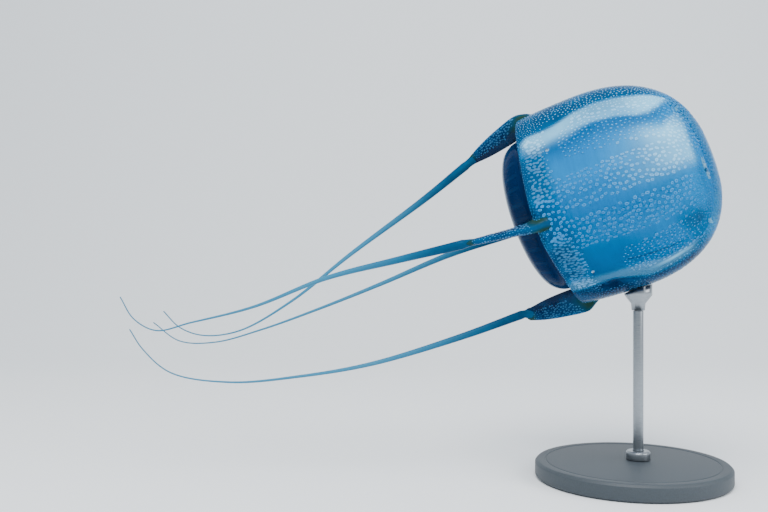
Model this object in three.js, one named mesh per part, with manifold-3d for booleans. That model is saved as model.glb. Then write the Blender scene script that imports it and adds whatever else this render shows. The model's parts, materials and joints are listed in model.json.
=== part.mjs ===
// A box jellyfish, life size, swimming apex first on a plain display stand.
// Millimetres, +Z up, origin at the centre of the stand base's underside.
// The bell is worked out in its own frame: z along the axis towards the apex, and four corners
// at 0, 90, 180 and 270 degrees round it, called near, low, far and high from where they point.

import * as THREE from 'three';
import { mergeVertices } from 'three/addons/utils/BufferGeometryUtils.js';
import Module from 'manifold-3d';

const wasm = await Module();
wasm.setup();

// ---- Driving dimensions ----

const GAP = 0.3; // clearance between pieces that meet

// Where the bell sits and how it is turned
const BELL_CENTRE = new THREE.Vector3( - 37, 14, 159 ); // on the axis, level with the pedalia
const BELL_RISE = 20; // degrees that the axis climbs towards the apex
const BELL_TURN = 21; // degrees that the apex swings towards -Y
const BELL_SPIN = 3.7; // degrees about the axis

// Bell
const CORNER_RADIUS = 60;
const BELL_HEIGHT = 89; // pedalia to apex
const BARREL_TOP = 23; // widest level, where the dome starts
const MARGIN_Z = - 9;
const MARGIN_TAPER = 0.01; // share of the radius lost at the level of the pedalia
const DOME_POWER = 2.46; // how square the dome's side view is
const SIDE_POWER = 3.3; // how square the cross-section is
const APEX_POWER = 2.5;
const FURROW_DEPTH = 1.1; // long furrow each side of a corner pillar
const FURROW_ANGLE = 27; // degrees from the corner
const FURROW_SPREAD = 7; // degrees
const FURROW_LOW = [ - 2, 14 ]; // levels between which it sets in
const FURROW_HIGH = [ 50, 74 ]; // levels between which it fades out
const WALL = 9.5;
const ROOF = 5.5;
const CAVITY_POWER = 2.8; // the cavity's dome is squarer than the outside
const MARGIN_INNER_RADIUS = 47.4;
const MARGIN_INNER_DROP = 1; // inner edge of the margin lies this much lower
const WALL_BLEND_TOP = 14; // above this level the wall has its full thickness

const CORNER_HALF_ANGLE = 16; // corner pillars span twice this
const PANEL_GAP_ANGLE = 0.18;
const CORNER_COLUMNS = 6;
const SIDE_COLUMNS = 8;
const PANEL_ROWS = 9;
const BARREL_ROWS = 4; // of these, the ones below the dome
const CAP_START_ANGLE = 44; // degrees round the dome where the apex piece begins
const CAP_GAP_ANGLE = 0.15;
const CAP_COLUMNS = 36;
const CAP_ROWS = 4;

// Velarium, the thin skirt that narrows the bell's mouth: radius and level down its outer face
const VELARIUM_PROFILE = [ [ 47, - 10.4 ], [ 46.3, - 15.5 ], [ 43, - 20.7 ], [ 36.5, - 24.2 ],
	[ 28, - 26 ], [ 19, - 25.6 ] ];
const VELARIUM_ROOT_THICKNESS = 1.5;
const VELARIUM_LIP_THICKNESS = 0.9;
const VELARIUM_COLUMNS = 8;
const VELARIUM_ROWS = 5;

// Pedalia, the blades at the corners: outer keel and inner flange as radius and level
const PEDALIUM_LENGTH = 46;
const KEEL = [ [ 60.5, 0.3 ], [ 62.3, - 8 ], [ 60.2, - 21 ], [ 56.4, - 35 ], [ 53, - 43.5 ] ];
const FLANGE = [ [ 47.6, - 12 ], [ 47, - 18 ], [ 46.6, - 30 ], [ 47.2, - 41 ] ];
const PEDALIUM_THICKNESS = [ 10.5, 8.2, 6.2, 5.6, 5.4, 5 ];
const FLANGE_THINNING = 0.45; // how much thinner the flange side is than the keel
const KNEE_EASE = 6; // length over which a pedalium's splay sets in
const KEEL_EASE = 0.25; // share of the length over which a fuller keel sets in
const PEDALIUM_SIDES = 12;
const PEDALIUM_STEPS = 9;
const TIP_TURNS = [ 35, 65 ]; // degrees round the tip's end where it has a ring
const TIP_RADIUS = 49.5; // where the tentacle leaves the tip
const TIP_SHORT = 0.4; // the tip's end stops this far short of the full length
const SOCKET_LEAN = [ - 0.66, 0, 0.75 ]; // way that the root points into the bell
const PEDALIA = [
	{ name: 'near', corner: 0, splay: 12, sideways: - 7, length: 50, fuller: 0 },
	{ name: 'low', corner: 90, splay: 7.5, sideways: 0, length: 46, fuller: 2.4 },
	{ name: 'far', corner: 180, splay: - 2, sideways: - 14, length: 46, fuller: 0 },
	{ name: 'high', corner: 270, splay: - 7, sideways: 0, length: 46, fuller: 0 },
];

// Tentacles: where each one passes, from just past its pedalium to its tip
const TENTACLE_ROOT_RADIUS = 2.75;
const TENTACLE_TIP_RADIUS = 0.35;
const TENTACLE_TAPER = 1.8;
const TENTACLE_LENGTHS = 3;
const TENTACLE_SIDES = 8;
const TENTACLE_STEPS = 9; // rings in each length
const TENTACLE_ROOT_GAP = 0.9; // clearance past the pedalium's tip
const TENTACLE_ROUTES = {
	near: [ [ - 136, - 12, 128 ], [ - 179, - 2, 117 ], [ - 222, 6, 100 ], [ - 261, 14, 90 ],
		[ - 283, 18, 85 ], [ - 297, 20, 92 ], [ - 305, 20, 105 ] ],
	low: [ [ - 98, 29, 80 ], [ - 153, 24, 64 ], [ - 196, 20, 57 ], [ - 238, 16, 54 ],
		[ - 273, 14, 60 ], [ - 289, 12, 74 ], [ - 297, 12, 86 ] ],
	far: [ [ - 101, 76, 131 ], [ - 148, 74, 111 ], [ - 188, 72, 95 ], [ - 227, 70, 81 ],
		[ - 257, 69, 73 ], [ - 280, 68, 74 ], [ - 297, 68, 86 ] ],
	high: [ [ - 119, 34, 166 ], [ - 166, 36, 131 ], [ - 204, 38, 101 ], [ - 236, 40, 83 ],
		[ - 259, 41, 80 ], [ - 274, 42, 85 ], [ - 284, 42, 95 ] ],
};

// Small organs
const RHOPALIUM_LEVEL = 8.4;
const RHOPALIUM_RADIUS = 1.4;
const RHOPALIUM_DEPTH = 0.6; // its centre lies this far inside the side's surface
const NICHE_RADIUS = 2.5;
const PHACELLA_RADIUS = 33; // distance of a gastric tuft from the axis
const PHACELLA_LEVEL = 73;
const PHACELLA_SPAN = 10;
const PHACELLA_WIDTH = 3;
const PHACELLA_HEIGHT = 1.8;
const PHACELLA_BOW = 3; // its ends lie this much nearer the axis
const PHACELLA_TILT = 1.2; // its outer edge lies this much lower
const PHACELLA_FULLNESS = 1.15; // blunter ends the further this is above 1
const PHACELLA_SIDES = 8;
const PHACELLA_STEPS = 6;
const MANUBRIUM_PROFILE = [ [ 8, 82.9 ], [ 6, 79.5 ], [ 4.6, 74 ], [ 4.6, 69.5 ], [ 6.4, 65.5 ] ];
const MANUBRIUM_SIDES = 16;
const MOUTH_RADIUS = 2.4;
const MOUTH_DEPTH = 7;
const LIP_ROLL = 0.6; // the lips' inner edge lies this far above their rim
const THROAT_TAPER = 0.7;
const MANUBRIUM_LIP = 0.22; // how far the four lips stand out, as a share of the radius

// Display stand
const BASE_RADIUS = 56;
const BASE_THICKNESS = 10;
const BASE_EDGE = 1.5;
const BASE_SIDES = 56;
const ROD_RADIUS = 3;
const ROD_X = 5;
const ROD_Y = 5;
const COLLAR_RADIUS = 7;
const COLLAR_HEIGHT = 5;
const COLLAR_CHAMFER = 1;
const CRADLE_RADIUS = 8;
const CRADLE_STEM_Z = 98; // where the cradle begins on the rod
const CRADLE_STEM_RADII = [ 3.8, 4.2 ]; // at the stem's foot and where the cup begins to flare
const CRADLE_FLARE_Z = 102;
const CRADLE_CUP_Z = 107; // where the cup has its full radius
const CRADLE_TOP_Z = 118; // before it is cut to the bell's shape
const CRADLE_CLEARANCE = 0.4;
const FITTING_SIDES = 28; // round the collar and the cradle
const ROD_SIDES = 24;
const BLANK_COLUMNS = 72; // round the bell-shaped cutter
const BLANK_ROWS = 24;

// ---- Materials ----

const makeMaterial = ( color, roughness, metalness = 0 ) =>
	new THREE.MeshStandardMaterial( { color, roughness, metalness } );
const bellMaterial = makeMaterial( 0x1a8fd2, 0.25 );
const cornerMaterial = makeMaterial( 0x0c5fa8, 0.25 );
const velariumMaterial = makeMaterial( 0x103c66, 0.2 );
const pedaliumMaterial = makeMaterial( 0x1c6f9c, 0.3 );
const tentacleMaterial = makeMaterial( 0x2f84ab, 0.3 );
const organMaterial = makeMaterial( 0xe6f4f2, 0.4 );
const baseMaterial = makeMaterial( 0x3a434a, 0.5 );
const steelMaterial = makeMaterial( 0x92979c, 0.35, 1 );

// ---- Shape helpers ----

const radians = THREE.MathUtils.degToRad;
const { lerp, smoothstep } = THREE.MathUtils;

// A closed body from quads and triangles given as corner lists, with its faces turned outwards
function bodyFromFaces( faces ) {

	const positions = [];
	for ( const face of faces ) {

		for ( let i = 2; i < face.length; i ++ ) {

			positions.push( ...face[ 0 ], ...face[ i - 1 ], ...face[ i ] );

		}

	}

	const loose = new THREE.BufferGeometry();
	loose.setAttribute( 'position', new THREE.Float32BufferAttribute( positions, 3 ) );
	const merged = mergeVertices( loose, 1e-4 );
	const kept = [];
	const index = merged.index.array;
	for ( let i = 0; i < index.length; i += 3 ) {

		const [ a, b, c ] = index.slice( i, i + 3 );
		if ( a !== b && b !== c && c !== a ) kept.push( a, b, c );

	}

	if ( signedVolume( merged.attributes.position, kept ) < 0 ) kept.reverse();
	merged.setIndex( kept );
	return merged;

}

function signedVolume( position, index ) {

	const corners = [ new THREE.Vector3(), new THREE.Vector3(), new THREE.Vector3() ];
	let volume = 0;
	for ( let i = 0; i < index.length; i += 3 ) {

		corners.forEach( ( corner, k ) => corner.fromBufferAttribute( position, index[ i + k ] ) );
		volume += corners[ 0 ].dot( corners[ 1 ].clone().cross( corners[ 2 ] ) ) / 6;

	}

	return volume;

}

// A shell between two surfaces, each a function of a column and a row from 0 to 1
function shellBody( outer, inner, columns, rows, closedRound = false ) {

	const faces = [];
	const at = ( surface, i, j ) => surface( i / columns, j / rows );
	const quad = ( surface, i, j, flip ) => {

		const face = [ at( surface, i, j ), at( surface, i + 1, j ),
			at( surface, i + 1, j + 1 ), at( surface, i, j + 1 ) ];
		faces.push( flip ? face.reverse() : face );

	};

	for ( let i = 0; i < columns; i ++ ) {

		for ( let j = 0; j < rows; j ++ ) {

			quad( outer, i, j, false );
			quad( inner, i, j, true );

		}

		const wall = ( j, flip ) => {

			const face = [ at( inner, i, j ), at( inner, i + 1, j ),
				at( outer, i + 1, j ), at( outer, i, j ) ];
			faces.push( flip ? face.reverse() : face );

		};

		wall( 0, false );
		wall( rows, true );

	}

	for ( let j = 0; j < rows && ! closedRound; j ++ ) {

		const side = ( i, flip ) => {

			const face = [ at( outer, i, j ), at( outer, i, j + 1 ),
				at( inner, i, j + 1 ), at( inner, i, j ) ];
			faces.push( flip ? face.reverse() : face );

		};

		side( 0, false );
		side( columns, true );

	}

	return bodyFromFaces( faces );

}

// A body skinned over a row of rings, closed at both ends by fans to the rings' centres
function loftBody( rings ) {

	const faces = [];
	const sides = rings[ 0 ].length;
	for ( let k = 1; k < rings.length; k ++ ) {

		for ( let i = 0; i < sides; i ++ ) {

			const next = ( i + 1 ) % sides;
			faces.push( [ rings[ k - 1 ][ i ], rings[ k - 1 ][ next ],
				rings[ k ][ next ], rings[ k ][ i ] ] );

		}

	}

	const addCap = ( ring, flip ) => {

		const centre = ring.reduce( ( sum, point ) => sum.add( new THREE.Vector3( ...point ) ),
			new THREE.Vector3() ).divideScalar( sides ).toArray();
		for ( let i = 0; i < sides; i ++ ) {

			const face = [ centre, ring[ ( i + 1 ) % sides ], ring[ i ] ];
			faces.push( flip ? face.reverse() : face );

		}

	};

	addCap( rings[ 0 ], false );
	addCap( rings[ rings.length - 1 ], true );
	return bodyFromFaces( faces );

}

function toManifold( geometry ) {

	const bare = geometry.clone();
	bare.deleteAttribute( 'normal' );
	bare.deleteAttribute( 'uv' );
	const merged = mergeVertices( bare, 1e-4 );
	return new wasm.Manifold( new wasm.Mesh( {
		numProp: 3,
		vertProperties: new Float32Array( merged.attributes.position.array ),
		triVerts: new Uint32Array( merged.index.array ),
	} ) );

}

function cutBy( geometry, cutter ) {

	const mesh = toManifold( geometry ).subtract( toManifold( cutter ) ).getMesh();
	const result = new THREE.BufferGeometry();
	result.setAttribute( 'position', new THREE.BufferAttribute( mesh.vertProperties, 3 ) );
	result.setIndex( new THREE.BufferAttribute( mesh.triVerts, 1 ) );
	return result;

}

function makeMesh( name, geometry, material ) {

	geometry.computeVertexNormals();
	const mesh = new THREE.Mesh( geometry, material );
	mesh.name = name;
	return mesh;

}

// ---- Bell surfaces ----

// How far a rounded square reaches at an angle from a corner, 1 at the corner itself
function squareReach( angle, power ) {

	const c = Math.abs( Math.cos( angle - Math.PI / 4 ) );
	const s = Math.abs( Math.sin( angle - Math.PI / 4 ) );
	const atCorner = Math.pow( 2 * Math.pow( Math.SQRT1_2, power ), - 1 / power );
	return Math.pow( Math.pow( c, power ) + Math.pow( s, power ), - 1 / power ) / atCorner;

}

// Angle from the nearest corner, in degrees
function angleFromCorner( angle ) {

	const turned = ( ( THREE.MathUtils.radToDeg( angle ) % 90 ) + 90 ) % 90;
	return Math.min( turned, 90 - turned );

}

function furrow( angle, level ) {

	const across = ( angleFromCorner( angle ) - FURROW_ANGLE ) / FURROW_SPREAD;
	const fade = smoothstep( level, ...FURROW_LOW ) * ( 1 - smoothstep( level, ...FURROW_HIGH ) );
	return FURROW_DEPTH * Math.exp( - across * across ) * fade;

}

// A place on the bell's side view: below the dome `rise` is a level, above it an angle
function bellLevel( rise, height, power ) {

	if ( rise <= 0 ) return BARREL_TOP + rise;
	return BARREL_TOP + ( height - BARREL_TOP ) * Math.pow( Math.sin( radians( rise ) ), 2 / power );

}

function bellShrink( rise, power ) {

	if ( rise <= 0 ) return 1 - MARGIN_TAPER * Math.pow( rise / BARREL_TOP, 2 );
	return Math.pow( Math.max( Math.cos( radians( rise ) ), 0 ), 2 / power );

}

function sectionPower( level ) {

	return lerp( SIDE_POWER, APEX_POWER, Math.pow( Math.max( level, 0 ) / BELL_HEIGHT, 3 ) );

}

function outerPoint( angle, rise, extra = 0 ) {

	const level = bellLevel( rise, BELL_HEIGHT + extra, DOME_POWER );
	const reach = bellShrink( rise, DOME_POWER ) * squareReach( angle, sectionPower( level ) );
	const radius = ( CORNER_RADIUS + extra ) * reach - furrow( angle, level );
	return polar( Math.max( radius, 0 ), angle, level );

}

function innerPoint( angle, rise ) {

	const level = bellLevel( rise, BELL_HEIGHT - ROOF, CAVITY_POWER );
	const reach = bellShrink( rise, CAVITY_POWER ) * squareReach( angle, sectionPower( level ) );
	const body = ( CORNER_RADIUS - WALL ) * reach;
	const full = smoothstep( level, MARGIN_Z, WALL_BLEND_TOP );
	const drop = MARGIN_INNER_DROP * ( 1 - full );
	return polar( lerp( MARGIN_INNER_RADIUS, body, full ), angle, level - drop );

}

function polar( radius, angle, level ) {

	return [ radius * Math.cos( angle ), radius * Math.sin( angle ), level ];

}

// ---- Bell pieces ----

const MARGIN_RISE = MARGIN_Z - BARREL_TOP;
const PANEL_TOP_ANGLE = CAP_START_ANGLE - CAP_GAP_ANGLE;
const BARREL_SHARE = BARREL_ROWS / PANEL_ROWS;

// The first rows climb the barrel, the rest go round the dome
function panelRise( row ) {

	if ( row < BARREL_SHARE ) return MARGIN_RISE * ( 1 - row / BARREL_SHARE );
	return PANEL_TOP_ANGLE * ( row - BARREL_SHARE ) / ( 1 - BARREL_SHARE );

}

function bellPanel( centreAngle, halfAngle, columns ) {

	const start = radians( centreAngle - halfAngle + PANEL_GAP_ANGLE );
	const end = radians( centreAngle + halfAngle - PANEL_GAP_ANGLE );
	const surface = ( point ) => ( column, row ) =>
		point( lerp( start, end, column ), panelRise( row ) );
	return shellBody( surface( outerPoint ), surface( innerPoint ), columns, PANEL_ROWS );

}

function bellCap() {

	const rise = ( row ) => lerp( CAP_START_ANGLE + CAP_GAP_ANGLE, 90, row );
	const surface = ( point ) => ( column, row ) => point( 2 * Math.PI * ( column % 1 ), rise( row ) );
	return shellBody( surface( outerPoint ), surface( innerPoint ), CAP_COLUMNS, CAP_ROWS, true );

}

// A closed blank of the bell's outside, grown by some clearance, for cutting the cradle
function bellBlank( clearance ) {

	const rise = ( row ) => lerp( MARGIN_RISE, 90, row );
	const outer = ( column, row ) => outerPoint( 2 * Math.PI * ( column % 1 ), rise( row ), clearance );
	const axis = ( column, row ) => [ 0, 0, outer( column, row )[ 2 ] / 2 ];
	return shellBody( outer, axis, BLANK_COLUMNS, BLANK_ROWS, true );

}

// ---- Pedalia ----

function edgeCurve( points ) {

	return new THREE.CatmullRomCurve3( points.map( ( [ radius, level ] ) =>
		new THREE.Vector3( radius, 0, level ) ) );

}

// How far down a pedalium a level is past the knee, for splay that sets in gently
function pastKnee( level ) {

	const depth = Math.max( - level - KNEE_EASE, 0 );
	return depth * depth / ( depth + KNEE_EASE );

}

function splayPoint( point, pedalium ) {

	const reach = pastKnee( point.z );
	return new THREE.Vector3(
		point.x + Math.tan( radians( pedalium.splay ) ) * reach,
		point.y + Math.tan( radians( pedalium.sideways ) ) * reach,
		point.z * ( point.z < 0 ? pedalium.length / PEDALIUM_LENGTH : 1 ),
	);

}

function stationValue( values, share ) {

	const place = share * ( values.length - 1 );
	const k = Math.min( Math.floor( place ), values.length - 2 );
	return lerp( values[ k ], values[ k + 1 ], place - k );

}

const keelCurve = edgeCurve( KEEL );
const flangeCurve = edgeCurve( FLANGE );

// One ring round a pedalium: thick at the keel, thin at the flange
function pedaliumRing( pedalium, share, extra ) {

	const keel = keelCurve.getPoint( share );
	keel.x += pedalium.fuller * smoothstep( share, 0, KEEL_EASE );
	const flange = flangeCurve.getPoint( share );
	const centre = keel.clone().add( flange ).multiplyScalar( 0.5 );
	const across = keel.clone().sub( flange );
	const halfWidth = across.length() / 2 + extra;
	across.normalize();
	const halfThick = stationValue( PEDALIUM_THICKNESS, share ) / 2 + extra;
	const ring = [];
	for ( let i = 0; i < PEDALIUM_SIDES; i ++ ) {

		const turn = 2 * Math.PI * i / PEDALIUM_SIDES;
		const thin = 1 - FLANGE_THINNING * share * ( 1 - Math.cos( turn ) ) / 2;
		const point = centre.clone().addScaledVector( across, Math.cos( turn ) * halfWidth );
		point.y = Math.sin( turn ) * halfThick * thin;
		ring.push( splayPoint( point, pedalium ) );

	}

	return ring;

}

// The tip is rounded off over a few shrinking rings
function pedaliumBody( pedalium, extra = 0 ) {

	const rings = [];
	for ( let k = 0; k <= PEDALIUM_STEPS; k ++ ) {

		rings.push( pedaliumRing( pedalium, k / PEDALIUM_STEPS, extra ) );

	}

	const tip = tipCentre( pedalium );
	const last = rings[ rings.length - 1 ];
	const centre = last.reduce( ( sum, point ) => sum.add( point ), new THREE.Vector3() )
		.divideScalar( last.length );
	const past = tip.clone().sub( centre );
	for ( const turn of TIP_TURNS ) {

		const scale = Math.cos( radians( turn ) );
		rings.push( last.map( ( point ) => point.clone().sub( centre ).multiplyScalar( scale )
			.add( centre ).addScaledVector( past, Math.sin( radians( turn ) ) ) ) );

	}

	if ( extra > 0 ) {

		const into = new THREE.Vector3( ...SOCKET_LEAN ).multiplyScalar( extra );
		rings[ 0 ] = rings[ 0 ].map( ( point ) => point.clone().add( into ) );

	}

	return loftBody( rings.map( ( ring ) => ring.map( ( point ) => point.toArray() ) ) );

}

// Where the tentacle leaves the pedalium, in the pedalium's own frame
function tipCentre( pedalium ) {

	return splayPoint( new THREE.Vector3( TIP_RADIUS, 0, TIP_SHORT - PEDALIUM_LENGTH ), pedalium );

}

// ---- Velarium ----

const velariumCurve = edgeCurve( VELARIUM_PROFILE );

// A quarter of the velarium, from one corner of the bell to the next
function velariumQuarter() {

	const start = radians( PANEL_GAP_ANGLE );
	const end = radians( 90 - PANEL_GAP_ANGLE );
	const surface = ( side ) => ( column, row ) => {

		const point = velariumCurve.getPoint( row );
		const tangent = velariumCurve.getTangent( row );
		const thickness = lerp( VELARIUM_ROOT_THICKNESS, VELARIUM_LIP_THICKNESS, row );
		const radius = point.x + side * thickness * tangent.z;
		const level = point.z - side * thickness * tangent.x;
		return polar( radius, lerp( start, end, column ), level );

	};

	return shellBody( surface( 0 ), surface( 1 ), VELARIUM_COLUMNS, VELARIUM_ROWS );

}

// ---- Organs ----

// A crescent tuft lying across a stomach corner, just under the bell's roof
function phacellaBody() {

	const rings = [];
	for ( let k = 0; k <= PHACELLA_STEPS; k ++ ) {

		const along = k / PHACELLA_STEPS * 2 - 1;
		const size = Math.sqrt( PHACELLA_FULLNESS - along * along );
		const ring = [];
		for ( let i = 0; i < PHACELLA_SIDES; i ++ ) {

			const turn = 2 * Math.PI * i / PHACELLA_SIDES;
			const out = Math.cos( turn ) * size;
			const up = Math.sin( turn ) * size;
			ring.push( [
				PHACELLA_RADIUS - along * along * PHACELLA_BOW + out * PHACELLA_WIDTH / 2,
				along * PHACELLA_SPAN / 2,
				PHACELLA_LEVEL - out * PHACELLA_TILT + up * PHACELLA_HEIGHT / 2,
			] );

		}

		rings.push( ring );

	}

	return loftBody( rings );

}

// The mouth tube under the roof: four lips at its end and a short open throat
function manubriumBody() {

	const ringAt = ( radius, level, lip ) => Array.from( { length: MANUBRIUM_SIDES }, ( _, i ) => {

		const angle = 2 * Math.PI * i / MANUBRIUM_SIDES;
		return polar( radius * ( 1 + lip * Math.cos( 4 * angle ) ), angle, level );

	} );
	const last = MANUBRIUM_PROFILE.length - 1;
	const rings = MANUBRIUM_PROFILE.map( ( [ radius, level ], k ) =>
		ringAt( radius, level, MANUBRIUM_LIP * k / last ) );
	const mouthZ = MANUBRIUM_PROFILE[ last ][ 1 ];
	rings.push( ringAt( MOUTH_RADIUS, mouthZ + LIP_ROLL, MANUBRIUM_LIP ) );
	rings.push( ringAt( MOUTH_RADIUS * THROAT_TAPER, mouthZ + MOUTH_DEPTH, 0 ) );
	return loftBody( rings );

}

// ---- Tentacles ----

function tentacleCurve( pedalium, bellFrame ) {

	const turn = new THREE.Matrix4().makeRotationZ( radians( pedalium.corner ) );
	const root = tipCentre( pedalium );
	const start = root.clone().applyMatrix4( turn ).applyMatrix4( bellFrame );
	const route = TENTACLE_ROUTES[ pedalium.name ].map( ( place ) => new THREE.Vector3( ...place ) );
	return new THREE.CatmullRomCurve3( [ start, ...route ] );

}

function tentacleRadius( share ) {

	return lerp( TENTACLE_TIP_RADIUS, TENTACLE_ROOT_RADIUS, Math.pow( 1 - share, TENTACLE_TAPER ) );

}

// One length of a tentacle, between two shares of its whole route
function tentacleBody( curve, from, to ) {

	const whole = TENTACLE_STEPS * TENTACLE_LENGTHS;
	const frames = curve.computeFrenetFrames( whole );
	const rings = [];
	for ( let k = 0; k <= TENTACLE_STEPS; k ++ ) {

		const share = lerp( from, to, k / TENTACLE_STEPS );
		const place = Math.min( Math.round( share * whole ), whole );
		const centre = curve.getPointAt( share );
		const ring = [];
		for ( let i = 0; i < TENTACLE_SIDES; i ++ ) {

			const turn = 2 * Math.PI * i / TENTACLE_SIDES;
			ring.push( centre.clone()
				.addScaledVector( frames.normals[ place ], Math.cos( turn ) * tentacleRadius( share ) )
				.addScaledVector( frames.binormals[ place ], Math.sin( turn ) * tentacleRadius( share ) )
				.toArray() );

		}

		rings.push( ring );

	}

	return loftBody( rings );

}

// ---- Display stand ----

function latheBody( profile, segments ) {

	const points = profile.map( ( [ radius, level ] ) => new THREE.Vector2( radius, level ) );
	const geometry = new THREE.LatheGeometry( points, segments );
	geometry.rotateX( Math.PI / 2 );
	return geometry;

}

function cradleBody( bellFrame ) {

	const blank = latheBody( [
		[ 0, CRADLE_STEM_Z ],
		[ CRADLE_STEM_RADII[ 0 ], CRADLE_STEM_Z ],
		[ CRADLE_STEM_RADII[ 1 ], CRADLE_FLARE_Z ],
		[ CRADLE_RADIUS, CRADLE_CUP_Z ],
		[ CRADLE_RADIUS, CRADLE_TOP_Z ],
		[ 0, CRADLE_TOP_Z ],
	], FITTING_SIDES );
	blank.translate( ROD_X, ROD_Y, 0 );
	return cutBy( blank, bellBlank( CRADLE_CLEARANCE ).applyMatrix4( bellFrame ) );

}

// ---- The whole model ----

function bellMatrix() {

	const rise = radians( BELL_RISE );
	const turn = radians( BELL_TURN );
	const spin = radians( BELL_SPIN );
	const along = new THREE.Vector3( Math.cos( rise ), 0, Math.sin( rise ) );
	const away = new THREE.Vector3( 0, 1, 0 );
	const apex = along.clone().multiplyScalar( Math.cos( turn ) ).addScaledVector( away, - Math.sin( turn ) );
	const near = away.clone().multiplyScalar( - Math.cos( turn ) ).addScaledVector( along, - Math.sin( turn ) );
	near.applyAxisAngle( apex, spin );
	const low = apex.clone().cross( near );
	return new THREE.Matrix4().makeBasis( near, low, apex ).setPosition( BELL_CENTRE );

}

const model = new THREE.Group();
const bellFrame = bellMatrix();
const bell = new THREE.Group();
bell.applyMatrix4( bellFrame );
model.add( bell );

bell.add( makeMesh( 'bell_apex', bellCap(), bellMaterial ) );
bell.add( makeMesh( 'manubrium', manubriumBody(), organMaterial ) );

for ( const pedalium of PEDALIA ) {

	const corner = new THREE.Group();
	corner.rotation.z = radians( pedalium.corner );
	bell.add( corner );
	const blade = pedaliumBody( pedalium );
	const socket = pedaliumBody( pedalium, GAP );
	const pillar = cutBy( bellPanel( 0, CORNER_HALF_ANGLE, CORNER_COLUMNS ), socket );
	corner.add( makeMesh( `bell_corner_${ pedalium.name }`, pillar, cornerMaterial ) );
	corner.add( makeMesh( `pedalium_${ pedalium.name }`, blade, pedaliumMaterial ) );
	corner.add( makeMesh( `phacella_${ pedalium.name }`, phacellaBody(), organMaterial ) );

}

const SIDES = { near_low: 45, far_low: 135, far_high: 225, near_high: 315 };
for ( const [ name, angle ] of Object.entries( SIDES ) ) {

	const side = new THREE.Group();
	side.rotation.z = radians( angle - 45 );
	bell.add( side );
	const surface = outerPoint( Math.PI / 4, RHOPALIUM_LEVEL - BARREL_TOP );
	const depth = Math.hypot( surface[ 0 ], surface[ 1 ] ) - RHOPALIUM_DEPTH;
	const place = polar( depth, Math.PI / 4, RHOPALIUM_LEVEL );
	const niche = new THREE.IcosahedronGeometry( NICHE_RADIUS, 1 ).translate( ...place );
	const panel = cutBy( bellPanel( 45, 45 - CORNER_HALF_ANGLE, SIDE_COLUMNS ), niche );
	side.add( makeMesh( `bell_side_${ name }`, panel, bellMaterial ) );
	side.add( makeMesh( `velarium_${ name }`, velariumQuarter(), velariumMaterial ) );
	const rhopalium = new THREE.IcosahedronGeometry( RHOPALIUM_RADIUS, 1 );
	rhopalium.deleteAttribute( 'normal' );
	rhopalium.deleteAttribute( 'uv' );
	rhopalium.translate( ...place );
	side.add( makeMesh( `rhopalium_${ name }`, mergeVertices( rhopalium, 1e-4 ), organMaterial ) );

}

for ( const pedalium of PEDALIA ) {

	const curve = tentacleCurve( pedalium, bellFrame );
	const length = curve.getLength();
	for ( let k = 0; k < TENTACLE_LENGTHS; k ++ ) {

		const from = k / TENTACLE_LENGTHS + ( k === 0 ? TENTACLE_ROOT_GAP : GAP / 2 ) / length;
		const to = ( k + 1 ) / TENTACLE_LENGTHS - ( k === TENTACLE_LENGTHS - 1 ? 0 : GAP / 2 ) / length;
		const body = tentacleBody( curve, from, to );
		model.add( makeMesh( `tentacle_${ pedalium.name }_${ k + 1 }`, body, tentacleMaterial ) );

	}

}

const base = latheBody( [
	[ 0, 0 ],
	[ BASE_RADIUS - BASE_EDGE, 0 ],
	[ BASE_RADIUS, BASE_EDGE ],
	[ BASE_RADIUS, BASE_THICKNESS - BASE_EDGE ],
	[ BASE_RADIUS - BASE_EDGE, BASE_THICKNESS ],
	[ 0, BASE_THICKNESS ],
], BASE_SIDES );
model.add( makeMesh( 'stand_base', base, baseMaterial ) );

const rodBottom = BASE_THICKNESS + GAP;
const rodTop = CRADLE_STEM_Z - GAP;
const rod = new THREE.CylinderGeometry( ROD_RADIUS, ROD_RADIUS, rodTop - rodBottom, ROD_SIDES );
rod.rotateX( Math.PI / 2 );
rod.translate( ROD_X, ROD_Y, ( rodTop + rodBottom ) / 2 );
model.add( makeMesh( 'stand_rod', rod, steelMaterial ) );

const collar = latheBody( [
	[ ROD_RADIUS + GAP, rodBottom ],
	[ COLLAR_RADIUS, rodBottom ],
	[ COLLAR_RADIUS, rodBottom + COLLAR_HEIGHT - COLLAR_CHAMFER ],
	[ COLLAR_RADIUS - COLLAR_CHAMFER, rodBottom + COLLAR_HEIGHT ],
	[ ROD_RADIUS + GAP, rodBottom + COLLAR_HEIGHT ],
	[ ROD_RADIUS + GAP, rodBottom ],
], FITTING_SIDES );
collar.translate( ROD_X, ROD_Y, 0 );
model.add( makeMesh( 'stand_collar', collar, steelMaterial ) );
model.add( makeMesh( 'stand_cradle', cradleBody( bellFrame ), steelMaterial ) );

export default model;
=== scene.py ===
import json
import math
import random

import bmesh
import bpy
import numpy as np
from mathutils import Matrix, Vector
from mathutils.kdtree import KDTree

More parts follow.
